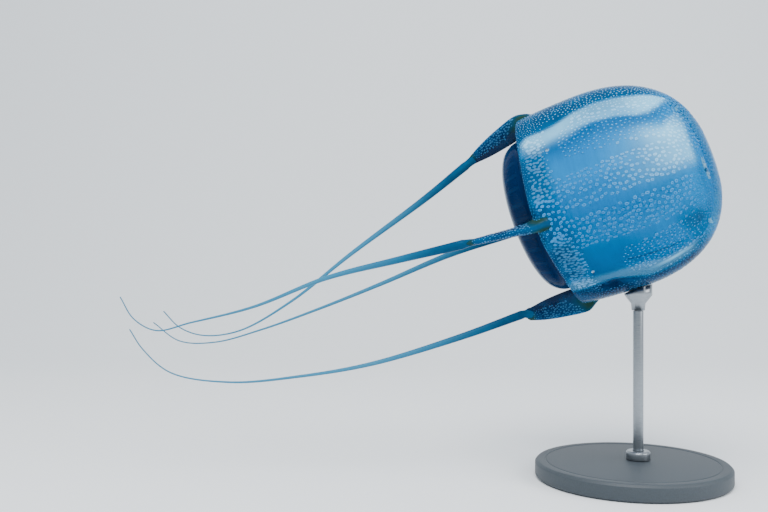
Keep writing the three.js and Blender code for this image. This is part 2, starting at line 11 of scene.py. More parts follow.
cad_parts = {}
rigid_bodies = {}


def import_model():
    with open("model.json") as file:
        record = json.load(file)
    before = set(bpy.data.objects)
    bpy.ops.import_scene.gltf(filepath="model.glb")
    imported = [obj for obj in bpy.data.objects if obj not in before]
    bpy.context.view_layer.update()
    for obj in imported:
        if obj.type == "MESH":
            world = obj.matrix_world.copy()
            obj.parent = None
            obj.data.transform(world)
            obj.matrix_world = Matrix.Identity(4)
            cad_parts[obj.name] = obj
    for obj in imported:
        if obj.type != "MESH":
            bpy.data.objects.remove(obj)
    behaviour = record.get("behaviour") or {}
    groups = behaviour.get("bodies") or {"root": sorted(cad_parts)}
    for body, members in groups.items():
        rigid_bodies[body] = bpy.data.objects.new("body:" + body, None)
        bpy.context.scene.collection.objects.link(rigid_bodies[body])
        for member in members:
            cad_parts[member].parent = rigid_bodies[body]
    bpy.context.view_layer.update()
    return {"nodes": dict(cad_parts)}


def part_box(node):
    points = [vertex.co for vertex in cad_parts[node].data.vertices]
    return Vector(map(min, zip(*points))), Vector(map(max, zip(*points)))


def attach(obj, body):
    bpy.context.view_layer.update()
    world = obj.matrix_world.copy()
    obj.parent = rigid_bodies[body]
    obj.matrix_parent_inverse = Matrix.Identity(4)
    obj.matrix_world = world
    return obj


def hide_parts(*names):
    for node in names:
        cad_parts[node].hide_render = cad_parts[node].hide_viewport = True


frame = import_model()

bpy.ops.object.select_all(action="DESELECT")


# ---- Studio ---------------------------------------------------------------------------------
# A seamless sweep of pale paper under and behind the model, two soft boxes and a soft sky.
# The camera stands level with the bell's lower half, a little to the left of the stand.

MM = 0.001
CAMERA_PLACE = (-0.145, -0.526, 0.130)
VIEW_WIDTH_AT_ONE_METRE = 768 / 900
SENSOR = 36.0
SWEEP_SIDE, SWEEP_HEIGHT, SWEEP_RADIUS, SWEEP_BACK = 8.0, 1.9, 0.7, 1.25
SWEEP_SEGMENTS = 24
NEAR_EDGE = 0.01
PAPER_FIBRE = MM / 0.9  # coarser than real fibres, as is every grain drawn below
LIGHT_AIM = (0.0, 0.0, 0.14)
# name, place, size in metres and watts
SOFT_BOXES = (
    ("key_soft_box", (-0.25, -0.6, 1.3), 0.9, 24),
    ("fill_soft_box", (1.0, -0.5, 0.7), 0.8, 10),
)
SKY_COLOUR, SKY_STRENGTH = "#dfe7ee", 1.05


def linear(hex_colour, alpha=1.0):
    """An sRGB hex colour as the linear values that a shader takes."""
    parts = [int(hex_colour[k : k + 2], 16) / 255 for k in (1, 3, 5)]
    straight = [c / 12.92 if c <= 0.04045 else ((c + 0.055) / 1.055) ** 2.4 for c in parts]
    return (*straight, alpha)


def add_node(tree, kind, links=(), **settings):
    """Adds a node. links are (input, socket or value) pairs, settings are its own properties."""
    node = tree.nodes.new(kind)
    for name, value in settings.items():
        setattr(node, name, value)
    for name, value in links:
        if isinstance(value, bpy.types.NodeSocket):
            tree.links.new(value, node.inputs[name])
        else:
            node.inputs[name].default_value = value
    return node


def new_material(name):
    """An empty node material and its output node."""
    material = bpy.data.materials.new(name)
    material.use_nodes = True
    material.node_tree.nodes.clear()
    out = material.node_tree.nodes.new("ShaderNodeOutputMaterial")
    return material, material.node_tree, out


def two_tone(name, dark, light, grain, roughness, detail=2.0):
    """A material in two tones that a grain mixes: the material, its tree, shader and grain.
    The grain is a size in metres, or three along x, y and z where it is drawn out."""
    material, tree, out = new_material(name)
    place = add_node(tree, "ShaderNodeTexCoord").outputs["Object"]
    spread = add_node(tree, "ShaderNodeVectorMath", [(0, place)], operation="MULTIPLY")
    spread.inputs[1].default_value = 1 / np.broadcast_to(grain, 3)
    noise = [("Vector", spread.outputs["Vector"]), ("Scale", 1.0), ("Detail", detail)]
    share = add_node(tree, "ShaderNodeTexNoise", noise).outputs["Fac"]
    tone = add_node(tree, "ShaderNodeMix", [("Factor", share)], data_type="RGBA")
    tone.inputs["A"].default_value = linear(dark)
    tone.inputs["B"].default_value = linear(light)
    shader = add_node(tree, "ShaderNodeBsdfPrincipled", [("Base Color", tone.outputs["Result"])])
    shader.inputs["Roughness"].default_value = roughness
    tree.links.new(shader.outputs[0], out.inputs["Surface"])
    return material, tree, shader, share


camera_data = bpy.data.cameras.new("studio_camera")
camera_data.sensor_width = SENSOR
camera_data.lens = SENSOR / VIEW_WIDTH_AT_ONE_METRE
camera = bpy.data.objects.new("studio_camera", camera_data)
camera.location = CAMERA_PLACE
camera.rotation_euler = (math.radians(90), 0, 0)
bpy.context.scene.collection.objects.link(camera)
bpy.context.scene.camera = camera

bpy.ops.mesh.primitive_plane_add(size=SWEEP_SIDE, location=(0, SWEEP_BACK - SWEEP_SIDE / 2, 0))
sweep = bpy.context.object
sweep.name = "paper_sweep"
bpy.ops.object.mode_set(mode="EDIT")
sheet = bmesh.from_edit_mesh(sweep.data)
for edge in sheet.edges:
    edge.select_set(all(v.co.y > SWEEP_SIDE / 2 - NEAR_EDGE for v in edge.verts))
bpy.ops.mesh.extrude_edges_move(TRANSFORM_OT_translate={"value": (0, 0, SWEEP_HEIGHT)})
bpy.ops.object.mode_set(mode="OBJECT")
bend = sweep.modifiers.new("bend", "BEVEL")
bend.width = SWEEP_RADIUS
bend.segments = SWEEP_SEGMENTS
bend.limit_method = "ANGLE"
bpy.ops.object.modifier_apply(modifier="bend")
bpy.ops.object.shade_smooth()
bpy.ops.object.transform_apply(location=True, rotation=True, scale=True)

# Matt paper is uncoated wood fibre: it throws the light back evenly, with no gloss and hardly a grain.
paper, *_ = two_tone("matt_paper", "#e9edf0", "#f2f4f6", PAPER_FIBRE, 0.9, detail=3.0)
sweep.data.materials.append(paper)

for name, place, size, power in SOFT_BOXES:
    lamp = bpy.data.lights.new(name, "AREA")
    lamp.size = size
    lamp.energy = power
    holder = bpy.data.objects.new(name, lamp)
    holder.location = place
    holder.rotation_euler = (Vector(LIGHT_AIM) - Vector(place)).to_track_quat("-Z", "Y").to_euler()
    bpy.context.scene.collection.objects.link(holder)

sky = bpy.data.worlds.new("soft_sky")
sky.use_nodes = True
bpy.context.scene.world = sky
sky.node_tree.nodes["Background"].inputs["Color"].default_value = linear(SKY_COLOUR)
sky.node_tree.nodes["Background"].inputs["Strength"].default_value = SKY_STRENGTH


# ---- Bell and velarium ----------------------------------------------------------------------
# The bell is one thick wall of clear jelly: outside, down to the margin, along the thin velarium
# that narrows the mouth, and back up the inside. It is one closed sheet of quads, laid out in
# the bell's own frame, z to the apex, with a corner at each quarter turn.

# Sizes are in millimetres in the bell's frame. A rise counts millimetres below the barrel's top
# and degrees of the dome above it, and a power is how square or how round a curve is.
COAT = 0.35  # the warts' height, by which the skin lies inside the solids
RHOPALIUM_LEVEL = 8.4
CORNER_RADIUS = 60 - COAT
BELL_HEIGHT = 89
BARREL_TOP = 23
MARGIN_Z, MARGIN_TAPER = -9, 0.01
DOME_POWER, CAVITY_POWER = 2.46, 2.8
SIDE_POWER, APEX_POWER = 3.3, 2.5
FURROW_DEPTH, FURROW_ANGLE, FURROW_SPREAD = 1.1, 27, 7
FURROW_LOW, FURROW_HIGH = (-2, 14), (50, 74)
WALL, ROOF = 9.5 - 2 * COAT, 5.5 - 2 * COAT
MARGIN_INNER_RADIUS, WALL_BLEND_TOP = 47.7, 14
MARGIN_EDGE, MARGIN_EDGE_TURNS = 2.2, (22, 45, 68)  # the margin's rounded outer edge
MARGIN_SHARES, MARGIN_DIP = (0.1, 0.4, 0.75, 1.0), 1.1
VELARIUM = [(47, -10.4), (46.3, -15.5), (43, -20.7), (36.5, -24.2), (28, -26), (19, -25.6)]
VELARIUM_ROOT, VELARIUM_LIP = 1.3, 0.8  # thickness
VELARIUM_SEAT, LIP_ROUNDING = 0.5, 0.45
COLUMNS, OUTER_ROWS, INNER_ROWS, VELARIUM_ROWS = 288, 96, 54, 20
ROW_ANGLE, FINE_STEPS = math.pi / 8, 4000  # where and how finely rows are measured out

RHOPALIUM_NODES = ["rhopalium_near_low", "rhopalium_far_low", "rhopalium_far_high", "rhopalium_near_high"]


def node_centre(node):
    """The middle of a CAD node's box."""
    low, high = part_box(node)
    return (low + high) / 2


def bell_frame():
    """The bell's frame in metres, worked out from its four rhopalia."""
    near_low, far_low, far_high, near_high = [node_centre(n) for n in RHOPALIUM_NODES]
    middle = (near_low + far_low + far_high + near_high) / 4
    near = ((near_low + near_high) / 2 - middle).normalized()
    low = ((near_low + far_low) / 2 - middle).normalized()
    apex = near.cross(low).normalized()
    turn = Matrix((near, low, apex)).transposed().to_4x4()
    turn.translation = middle - apex * RHOPALIUM_LEVEL * MM
    return turn @ Matrix.Scale(MM, 4)


BELL = bell_frame()


def smoothstep(value, low, high):
    """0 below low, 1 above high, and a soft rise between them."""
    share = np.clip((value - low) / (high - low), 0, 1)
    return share * share * (3 - 2 * share)


def smooth_line(points, shares):
    """Places on a centripetal Catmull-Rom line through the given points."""
    points = np.asarray(points, float)
    ends = np.vstack([2 * points[0] - points[1], points, 2 * points[-1] - points[-2]])
    place = np.clip(np.asarray(shares, float), 0, 1) * (len(points) - 1)
    k = np.minimum(place.astype(int), len(points) - 2)
    t = (place - k)[:, None]
    a, b, c, d = (ends[k + i] for i in range(4))
    gaps = ((a, b), (b, c), (c, d))
    ab, bc, cd = (np.sqrt(np.linalg.norm(q - p, axis=1))[:, None] for p, q in gaps)
    leave = bc * ((b - a) / ab - (c - a) / (ab + bc) + (c - b) / bc)
    reach = bc * ((c - b) / bc - (d - b) / (bc + cd) + (d - c) / cd)
    return b + leave * t + (3 * (c - b) - 2 * leave - reach) * t**2 + (2 * (b - c) + leave + reach) * t**3


def square_reach(angle, power):
    """Reach of a rounded square at an angle, 1 at its corners."""
    c = np.abs(np.cos(angle - math.pi / 4))
    s = np.abs(np.sin(angle - math.pi / 4))
    return (c**power + s**power) ** (-1 / power) * (2 * math.sqrt(0.5) ** power) ** (1 / power)


def from_corner(angle):
    """Degrees from the nearest corner."""
    turned = np.degrees(angle) % 90
    return np.minimum(turned, 90 - turned)


def section_power(level):
    """How square the bell's section is at a level."""
    return SIDE_POWER + (APEX_POWER - SIDE_POWER) * (np.maximum(level, 0) / BELL_HEIGHT) ** 3


def side_view(rise, height, power):
    """Level and shrink of the bell's side view: rise is a level below the dome, an angle on it."""
    turn = np.radians(np.clip(rise, 0, 90))
    dome = BARREL_TOP + (height - BARREL_TOP) * np.sin(turn) ** (2 / power)
    level = np.where(rise <= 0, BARREL_TOP + rise, dome)
    barrel = 1 - MARGIN_TAPER * (np.minimum(rise, 0) / BARREL_TOP) ** 2
    shrink = np.where(rise <= 0, barrel, np.maximum(np.cos(turn), 0) ** (2 / power))
    return level, shrink


def outside(angle, rise, proud=0.0):
    """Radius and level on the bell's outside."""
    level, shrink = side_view(rise, BELL_HEIGHT - COAT + proud, DOME_POWER)
    across = (from_corner(angle) - FURROW_ANGLE) / FURROW_SPREAD
    fade = smoothstep(level, *FURROW_LOW) * (1 - smoothstep(level, *FURROW_HIGH))
    furrow = FURROW_DEPTH * np.exp(-across * across) * fade
    reach = shrink * square_reach(angle, section_power(level))
    return np.maximum((CORNER_RADIUS + proud) * reach - furrow, 0), level


def inside(angle, rise):
    """Radius and level on the subumbrella, the inside of the bell."""
    level, shrink = side_view(rise, BELL_HEIGHT - COAT - ROOF, CAVITY_POWER)
    body = (CORNER_RADIUS - WALL) * shrink * square_reach(angle, section_power(level))
    full = smoothstep(level, MARGIN_Z, WALL_BLEND_TOP)
    return MARGIN_INNER_RADIUS + (body - MARGIN_INNER_RADIUS) * full, level - (1 - full)


def even_rises(surface, count, low):
    """Rises from low to the top of the dome, evenly along the surface's side view."""
    rises = np.linspace(low, 90.0, FINE_STEPS)
    radius, level = surface(np.full_like(rises, ROW_ANGLE), rises)
    run = np.concatenate([[0], np.cumsum(np.hypot(np.diff(radius), np.diff(level)))])
    return np.interp(np.linspace(0, run[-1], count), run, rises)


def bell_rows(angles):
    """All rows of the bell from the cavity's roof to the apex, as (radius, level, region)."""
    rows = []

    def add_row(radius, level, region):
        rows.append((radius + 0 * angles, level + 0 * angles, region))

    for rise in even_rises(inside, INNER_ROWS, MARGIN_Z - BARREL_TOP)[::-1][1:]:
        add_row(*inside(angles, np.full_like(angles, rise)), "inner")
    shares = np.linspace(0, 1, VELARIUM_ROWS)
    line = smooth_line(VELARIUM, shares)
    slope = np.gradient(line, axis=0)
    slope /= np.linalg.norm(slope, axis=1)[:, None]
    thick = VELARIUM_ROOT + (VELARIUM_LIP - VELARIUM_ROOT) * shares
    inner_line = line + np.stack([thick * slope[:, 1], -thick * slope[:, 0]], 1)
    lip = (line[-1] + inner_line[-1]) / 2 + slope[-1] * VELARIUM_LIP * LIP_ROUNDING
    for radius, level in (*inner_line[2:], lip, *line[::-1][:-1]):
        add_row(radius, level, "velarium")
    low_rise = MARGIN_Z + MARGIN_EDGE - BARREL_TOP
    edge_radius, _ = outside(angles, np.full_like(angles, low_rise))
    root = VELARIUM[0][0] + VELARIUM_SEAT
    for share in MARGIN_SHARES:
        radius = root + (edge_radius - MARGIN_EDGE - root) * share
        add_row(radius, MARGIN_Z + COAT - (1 - share) ** 2 * MARGIN_DIP, "margin")
    for turn in np.radians(MARGIN_EDGE_TURNS):
        level = MARGIN_Z + COAT + (MARGIN_EDGE - COAT) * (1 - np.cos(turn))
        add_row(edge_radius - MARGIN_EDGE * (1 - np.sin(turn)), level, "outer")
    for rise in even_rises(outside, OUTER_ROWS, low_rise)[:-1]:
        add_row(*outside(angles, np.full_like(angles, rise)), "outer")
    return rows


REGIONS = ["outer", "inner", "velarium", "margin", "pedalium", "tentacle"]


def mesh_object(name, points, faces, regions=None):
    """A mesh object from points in metres in the row frame, with its faces' region numbers."""
    mesh = bpy.data.meshes.new(name)
    mesh.from_pydata([tuple(p) for p in points], [], faces)
    mesh.validate()
    if regions is not None:
        mesh.polygons.foreach_set("material_index", np.array(regions, np.int32))
    mesh.update()
    piece = bpy.data.objects.new(name, mesh)
    bpy.context.scene.collection.objects.link(piece)
    return piece


def to_row_frame(points):
    """Points in the bell's frame, in millimetres, as metres in the row frame."""
    matrix = np.array(BELL)
    return np.asarray(points) @ matrix[:3, :3].T + matrix[:3, 3]


def make_bell():
    """The bell's closed wall, from the roof of its cavity over the margin to the apex."""
    angles = np.arange(COLUMNS) * 2 * math.pi / COLUMNS
    rows = bell_rows(angles)
    roof = (0.0, 0.0, BELL_HEIGHT - COAT - ROOF)
    top = (0.0, 0.0, BELL_HEIGHT - COAT)
    grid = [np.stack([r * np.cos(angles), r * np.sin(angles), z + 0 * angles], 1) for r, z, _ in rows]
    points = np.vstack([[roof], *grid, [top]])
    faces, regions = [], []
    starts = [1 + row * COLUMNS for row in range(len(rows))]
    for i in range(COLUMNS):
        j = (i + 1) % COLUMNS
        faces.append((0, starts[0] + j, starts[0] + i))
        regions.append(REGIONS.index("inner"))
        for a, b, row in zip(starts, starts[1:], rows[1:]):
            faces.append((a + i, a + j, b + j, b + i))
            regions.append(REGIONS.index(row[2]))
        faces.append((starts[-1] + i, starts[-1] + j, len(points) - 1))
        regions.append(REGIONS.index("outer"))
    return mesh_object("bell_skin", to_row_frame(points), faces, regions)


bell = make_bell()


# ---- Pedalia --------------------------------------------------------------------------------
# A blade of jelly at each corner of the margin, a rounded warty keel outside and a thinner clear
# flange inside. Each is lofted in its corner's own frame and its root is sunk in the bell's wall.

# Lines are (radius, level) in the corner's frame. A blade's splay and sideways lean are degrees
# below its knee, and its fuller is how far the keel stands further out.
PEDALIUM_LENGTH = 46
KEEL = [(60.5, 0.3), (62.3, -8), (60.2, -21), (56.4, -35), (53, -43.5)]
FLANGE = [(47.6, -12), (47, -18), (46.6, -30), (47.2, -41)]
PEDALIUM_THICKNESS = [10.5, 8.2, 6.2, 5.6, 5.4, 5]
FLANGE_THINNING = 0.45
KNEE_EASE, KEEL_EASE = 6, 0.25
TIP_RADIUS, TIP_SHORT, TIP_TURNS, TIP_ROOTED = 49.5, 0.4, (15, 30, 45, 58, 70, 80), 0.5
ROOT_LEAN = np.array([-0.66, 0, 0.75])
ROOT_DEPTH, ROOT_SIZE = 3.5, 0.8
PEDALIUM_SIDES, PEDALIUM_STEPS = 48, 56
PEDALIA = {
    "near": {"corner": 0, "splay": 12, "sideways": -7, "length": 50, "fuller": 0},
    "low": {"corner": 90, "splay": 7.5, "sideways": 0, "length": 46, "fuller": 2.4},
    "far": {"corner": 180, "splay": -2, "sideways": -14, "length": 46, "fuller": 0},
    "high": {"corner": 270, "splay": -7, "sideways": 0, "length": 46, "fuller": 0},
}


def splayed(points, blade):
    """Points of a straight pedalium, swung out and sideways below its knee."""
    x, y, z = np.asarray(points, float).T
    depth = np.maximum(-z - KNEE_EASE, 0)
    reach = depth * depth / (depth + KNEE_EASE)
    x = x + math.tan(math.radians(blade["splay"])) * reach
    y = y + math.tan(math.radians(blade["sideways"])) * reach
    return np.stack([x, y, np.where(z < 0, z * blade["length"] / PEDALIUM_LENGTH, z)], 1)


def turned(points, corner):
    """Points of a corner's frame in the bell's frame."""
    c, s = math.cos(math.radians(corner)), math.sin(math.radians(corner))
    x, y, z = np.asarray(points, float).T
    return np.stack([c * x - s * y, s * x + c * y, z], 1)


def pedalium_ring(blade, share, shrink):
    """The ring round a straight pedalium at a share of its length, shrunk all round."""
    keel = smooth_line(KEEL, [share])[0] + [blade["fuller"] * smoothstep(share, 0, KEEL_EASE), 0]
    flange = smooth_line(FLANGE, [share])[0]
    centre, across = (keel + flange) / 2, keel - flange
    width = np.linalg.norm(across)
    across = across / width
    stations = np.linspace(0, 1, len(PEDALIUM_THICKNESS))
    half = np.interp(share, stations, PEDALIUM_THICKNESS) / 2 - shrink
    turn = np.linspace(0, 2 * math.pi, PEDALIUM_SIDES, endpoint=False)
    thin = 1 - FLANGE_THINNING * share * (1 - np.cos(turn)) / 2
    out = centre[0] + across[0] * np.cos(turn) * (width / 2 - shrink)
    up = centre[1] + across[1] * np.cos(turn) * (width / 2 - shrink)
    return np.stack([out, np.sin(turn) * half * thin, up], 1)


def face_outwards(piece):
    """Turns a closed piece's faces outwards."""
    shell = bmesh.new()
    shell.from_mesh(piece.data)
    bmesh.ops.recalc_face_normals(shell, faces=shell.faces)
    shell.to_mesh(piece.data)
    shell.free()


def loft(name, rings, region):
    """A closed body over rings of one count of points, with a point at the middle of each end."""
    sides = len(rings[0])
    points = np.vstack([rings[0].mean(0)[None], *rings, rings[-1].mean(0)[None]])
    end = 1 + (len(rings) - 1) * sides
    faces = []
    for i in range(sides):
        j = (i + 1) % sides
        faces.append((0, 1 + j, 1 + i))
        for a in range(1, end, sides):
            faces.append((a + i, a + j, a + sides + j, a + sides + i))
        faces.append((end + i, end + j, len(points) - 1))
    piece = mesh_object(name, points, faces, [REGIONS.index(region)] * len(faces))
    face_outwards(piece)
    return piece


def make_pedalium(name, blade):
    """One blade, with its root sunk in the bell and a rounded end that notes its tip."""
    rings = [splayed(pedalium_ring(blade, s, COAT), blade) for s in np.linspace(0, 1, PEDALIUM_STEPS)]
    root = rings[0].mean(0)
    rings.insert(0, root + (rings[0] - root) * ROOT_SIZE + ROOT_LEAN * ROOT_DEPTH)
    end, last = rings[-1].mean(0), rings[-1]
    tip = splayed([(TIP_RADIUS, 0, TIP_SHORT - PEDALIUM_LENGTH)], blade)[0]
    for turn in np.radians(TIP_TURNS):
        rings.append(end + (last - end) * math.cos(turn) + (tip - end) * math.sin(turn))
    blade["tip"] = turned([tip], blade["corner"])[0]
    blade["tip_inside"] = turned([end - (tip - end) * TIP_ROOTED], blade["corner"])[0]
    rings = [to_row_frame(turned(ring, blade["corner"])) for ring in rings]
    return loft(f"pedalium_{name}_skin", rings, "pedalium")


blades = [make_pedalium(name, blade) for name, blade in PEDALIA.items()]


# ---- Tentacles ------------------------------------------------------------------------------
# One long soft tentacle trails from each pedalium and curls up at its end. Each is a tapering
# tube swept along the line that its solids follow, and its root is sunk in the pedalium's tip.

TENTACLE_ROOT_RADIUS, TENTACLE_TIP_RADIUS, TENTACLE_TAPER = 2.75, 0.35, 1.8
TENTACLE_ROOTED, TENTACLE_END_TURNS = 0.85, (35, 65)
TENTACLE_SIDES, TENTACLE_STEPS, ROUTE_STEPS = 16, 230, 1500
# places in millimetres in the row frame, after the pedalium's tip
TENTACLE_ROUTES = {
    "near": [(-136, -12, 128), (-179, -2, 117), (-222, 6, 100), (-261, 14, 90), (-283, 18, 85),
             (-297, 20, 92), (-305, 20, 105)],
    "low": [(-98, 29, 80), (-153, 24, 64), (-196, 20, 57), (-238, 16, 54), (-273, 14, 60),
            (-289, 12, 74), (-297, 12, 86)],
    "far": [(-101, 76, 131), (-148, 74, 111), (-188, 72, 95), (-227, 70, 81), (-257, 69, 73),
            (-280, 68, 74), (-297, 68, 86)],
    "high": [(-119, 34, 166), (-166, 36, 131), (-204, 38, 101), (-236, 40, 83), (-259, 41, 80),
             (-274, 42, 85), (-284, 42, 95)],
}


def tentacle_line(name):
    """Places at even steps along a tentacle's whole line, in metres in the row frame."""
    start = to_row_frame([PEDALIA[name]["tip"]])[0]
    route = [start, *[np.array(place) * MM for place in TENTACLE_ROUTES[name]]]
    route = smooth_line(route, np.linspace(0, 1, ROUTE_STEPS))
    run = np.concatenate([[0], np.cumsum(np.linalg.norm(np.diff(route, axis=0), axis=1))])
    even = np.linspace(0, run[-1], TENTACLE_STEPS)
    return np.stack([np.interp(even, run, route[:, k]) for k in range(3)], 1)


def make_tentacle(name):
    """One tentacle, from inside the pedalium's tip to its own rounded end."""
    line = tentacle_line(name)
    share = np.linspace(0, 1, len(line))
    extra = TENTACLE_ROOT_RADIUS - TENTACLE_TIP_RADIUS
    radius = TENTACLE_TIP_RADIUS + extra * (1 - share) ** TENTACLE_TAPER
    inner = to_row_frame([PEDALIA[name]["tip_inside"]])
    line = np.vstack([inner, line])
    radius = np.concatenate([[radius[0] * TENTACLE_ROOTED], radius])
    along = np.gradient(line, axis=0)
    along /= np.linalg.norm(along, axis=1)[:, None]
    side = np.cross(along[0], (0, 1, 0))
    side /= np.linalg.norm(side)
    turn = np.linspace(0, 2 * math.pi, TENTACLE_SIDES, endpoint=False)[:, None]
    rings = []
    for place, way, thick in zip(line, along, radius):
        side = side - way * side.dot(way)
        side /= np.linalg.norm(side)
        rings.append(place + (np.cos(turn) * side + np.sin(turn) * np.cross(way, side)) * thick * MM)
    for angle in np.radians(TENTACLE_END_TURNS):
        end = line[-1] + along[-1] * radius[-1] * math.sin(angle) * MM
        rings.append(end + (rings[len(line) - 1] - line[-1]) * math.cos(angle))
    return loft(f"tentacle_{name}_skin", rings, "tentacle")


tentacles = [make_tentacle(name) for name in PEDALIA]


# ---- One skin -------------------------------------------------------------------------------
# The living animal is one piece of flesh, so bell, pedalia and tentacles are joined to a single
# closed sheet, and the creases where they meet are eased.

CREASE_RINGS, CREASE_PASSES, CREASE_EASE = 2, 6, 0.5
WELD = 0.03 * MM


def take(piece, *others):
    """Selects a piece, with others, and makes it the active one."""
    bpy.ops.object.select_all(action="DESELECT")
    for other in (piece, *others):
        other.select_set(True)
    bpy.context.view_layer.objects.active = piece


def grow_together(body, limb):
    """Joins a limb to the body as one closed sheet."""
    join = body.modifiers.new("join", "BOOLEAN")
    join.operation = "UNION"
    join.solver = "EXACT"
    join.object = limb
    take(body)
    bpy.ops.object.modifier_apply(modifier="join")
    bpy.data.objects.remove(limb)


for blade, tentacle in zip(blades, tentacles):
    grow_together(blade, tentacle)
    grow_together(bell, blade)
skin = bell
skin.name = "jellyfish_skin"
skin.data.name = "jellyfish_skin"

take(skin)
bpy.ops.object.mode_set(mode="EDIT")
bpy.ops.mesh.select_all(action="SELECT")
bpy.ops.mesh.remove_doubles(threshold=WELD)
bpy.ops.mesh.select_all(action="DESELECT")
bpy.ops.object.mode_set(mode="OBJECT")

# the lowest and the highest region number of the faces round each vertex
lowest = np.full(len(skin.data.vertices), len(REGIONS))
highest = np.full(len(skin.data.vertices), -1)
for face in skin.data.polygons:
    for v in face.vertices:
        lowest[v] = min(lowest[v], face.material_index)
        highest[v] = max(highest[v], face.material_index)
blade_region = REGIONS.index("pedalium")
crease = (lowest < blade_region) & (highest >= blade_region)
crease |= (lowest == blade_region) & (highest > blade_region)
for vert, creased in zip(skin.data.vertices, crease):
    vert.select = bool(creased)
bpy.ops.object.mode_set(mode="EDIT")
for _ in range(CREASE_RINGS):
    bpy.ops.mesh.select_more()
bpy.ops.mesh.vertices_smooth(factor=CREASE_EASE, repeat=CREASE_PASSES)
bpy.ops.object.mode_set(mode="OBJECT")
bpy.ops.object.shade_smooth()


# ---- Markings -------------------------------------------------------------------------------
# Skin and warts carry the same markings, worked out from where a point lies on the animal:
# pale, how milky the jelly is, with painted glare of light from above in it; deep, how dark its
# blue is, with painted shade on the limbs, velarium and pedalia; olive, the stain at a pedalium's
# ends; body, how much the jelly hides of what is behind it. Places are degrees round the bell from
# its near corner, levels in millimetres, and shares of a limb's length. They are kept as attributes.

BLADE_SHARES = 90


def in_bell(points):
    """Angle in radians, level and radius in millimetres of points in the row frame."""
    back = np.array(BELL.inverted())
    x, y, z = (np.asarray(points) @ back[:3, :3].T + back[:3, 3]).T
    return np.arctan2(y, x) % (2 * math.pi), z, np.hypot(x, y)


def lookup(places):
    """A tree that finds the nearest of the places."""
    tree = KDTree(len(places))
    for k, place in enumerate(places):
        tree.insert(place, k)
    tree.balance()
    return tree


def blade_samples():
    """A lookup from places on the four pedalia to blade number, share of length and turn round."""
    places, labels = [], []
    turn = np.linspace(0, 2 * math.pi, PEDALIUM_SIDES, endpoint=False)
    for number, blade in enumerate(PEDALIA.values()):
        for share in np.linspace(0, 1, BLADE_SHARES):
            ring = splayed(pedalium_ring(blade, share, COAT), blade)
            places.append(to_row_frame(turned(ring, blade["corner"])))
            labels.append(np.stack([np.full(len(turn), number), np.full(len(turn), share), turn], 1))
    return lookup(np.vstack(places)), np.vstack(labels)


def line_samples():
    """A lookup from places on the tentacles to tentacle number and share of length."""
    places = np.vstack([tentacle_line(name) for name in PEDALIA])
    shares = np.tile(np.linspace(0, 1, TENTACLE_STEPS), len(PEDALIA))
    return lookup(places), np.stack([np.repeat(np.arange(len(PEDALIA)), TENTACLE_STEPS), shares], 1)


BLADE_TREE, BLADE_LABELS = blade_samples()
LINE_TREE, LINE_LABELS = line_samples()


def bump(value, middle, spread):
    """1 at the middle and 0 beyond the spread on either side."""
    return 1 - smoothstep(np.abs(value - middle), 0, spread)


def between(value, low, high, soft):
    """1 between low and high, with soft ends."""
    return smoothstep(value, low - soft, low + soft) * (1 - smoothstep(value, high - soft, high + soft))


def turned_in(angle):
    """Degrees from the near corner, with the far half folded on the near one: high -90, low 90."""
    return np.degrees(np.arctan2(np.sin(angle), np.abs(np.cos(angle))))


def inner_marks(angle, level):
    """pale, mostly painted glare of light from above, and deep on the inside of the bell, the milky sheet of
    muscle.
    """
    side = turned_in(angle)
    # glare, flank and lower are painted glare, light from above on the milky muscle; shade is painted shade
    # on the low side, and roof the darker jelly between them
    edge = -55 - 6 * smoothstep(level, 0, 40)
    glare = (1 - smoothstep(side, edge - 12, edge + 2)) * between(level, -6, 71, 4)
    flank_glare = between(side, -42, -3, 10) * between(level, 40, 79, 14)
    lower = between(side, 77, 96, 4) * between(level, -8, 62, 4)
    shade = between(side, 24, 66, 10) * between(level, -8, 40, 14)
    roof = between(side, 50, 88, 9) * between(level, 66, 79, 4)
    return 0.8 * glare + 0.7 * flank_glare + 0.3 * lower, 0.3 * shade + 0.5 * roof


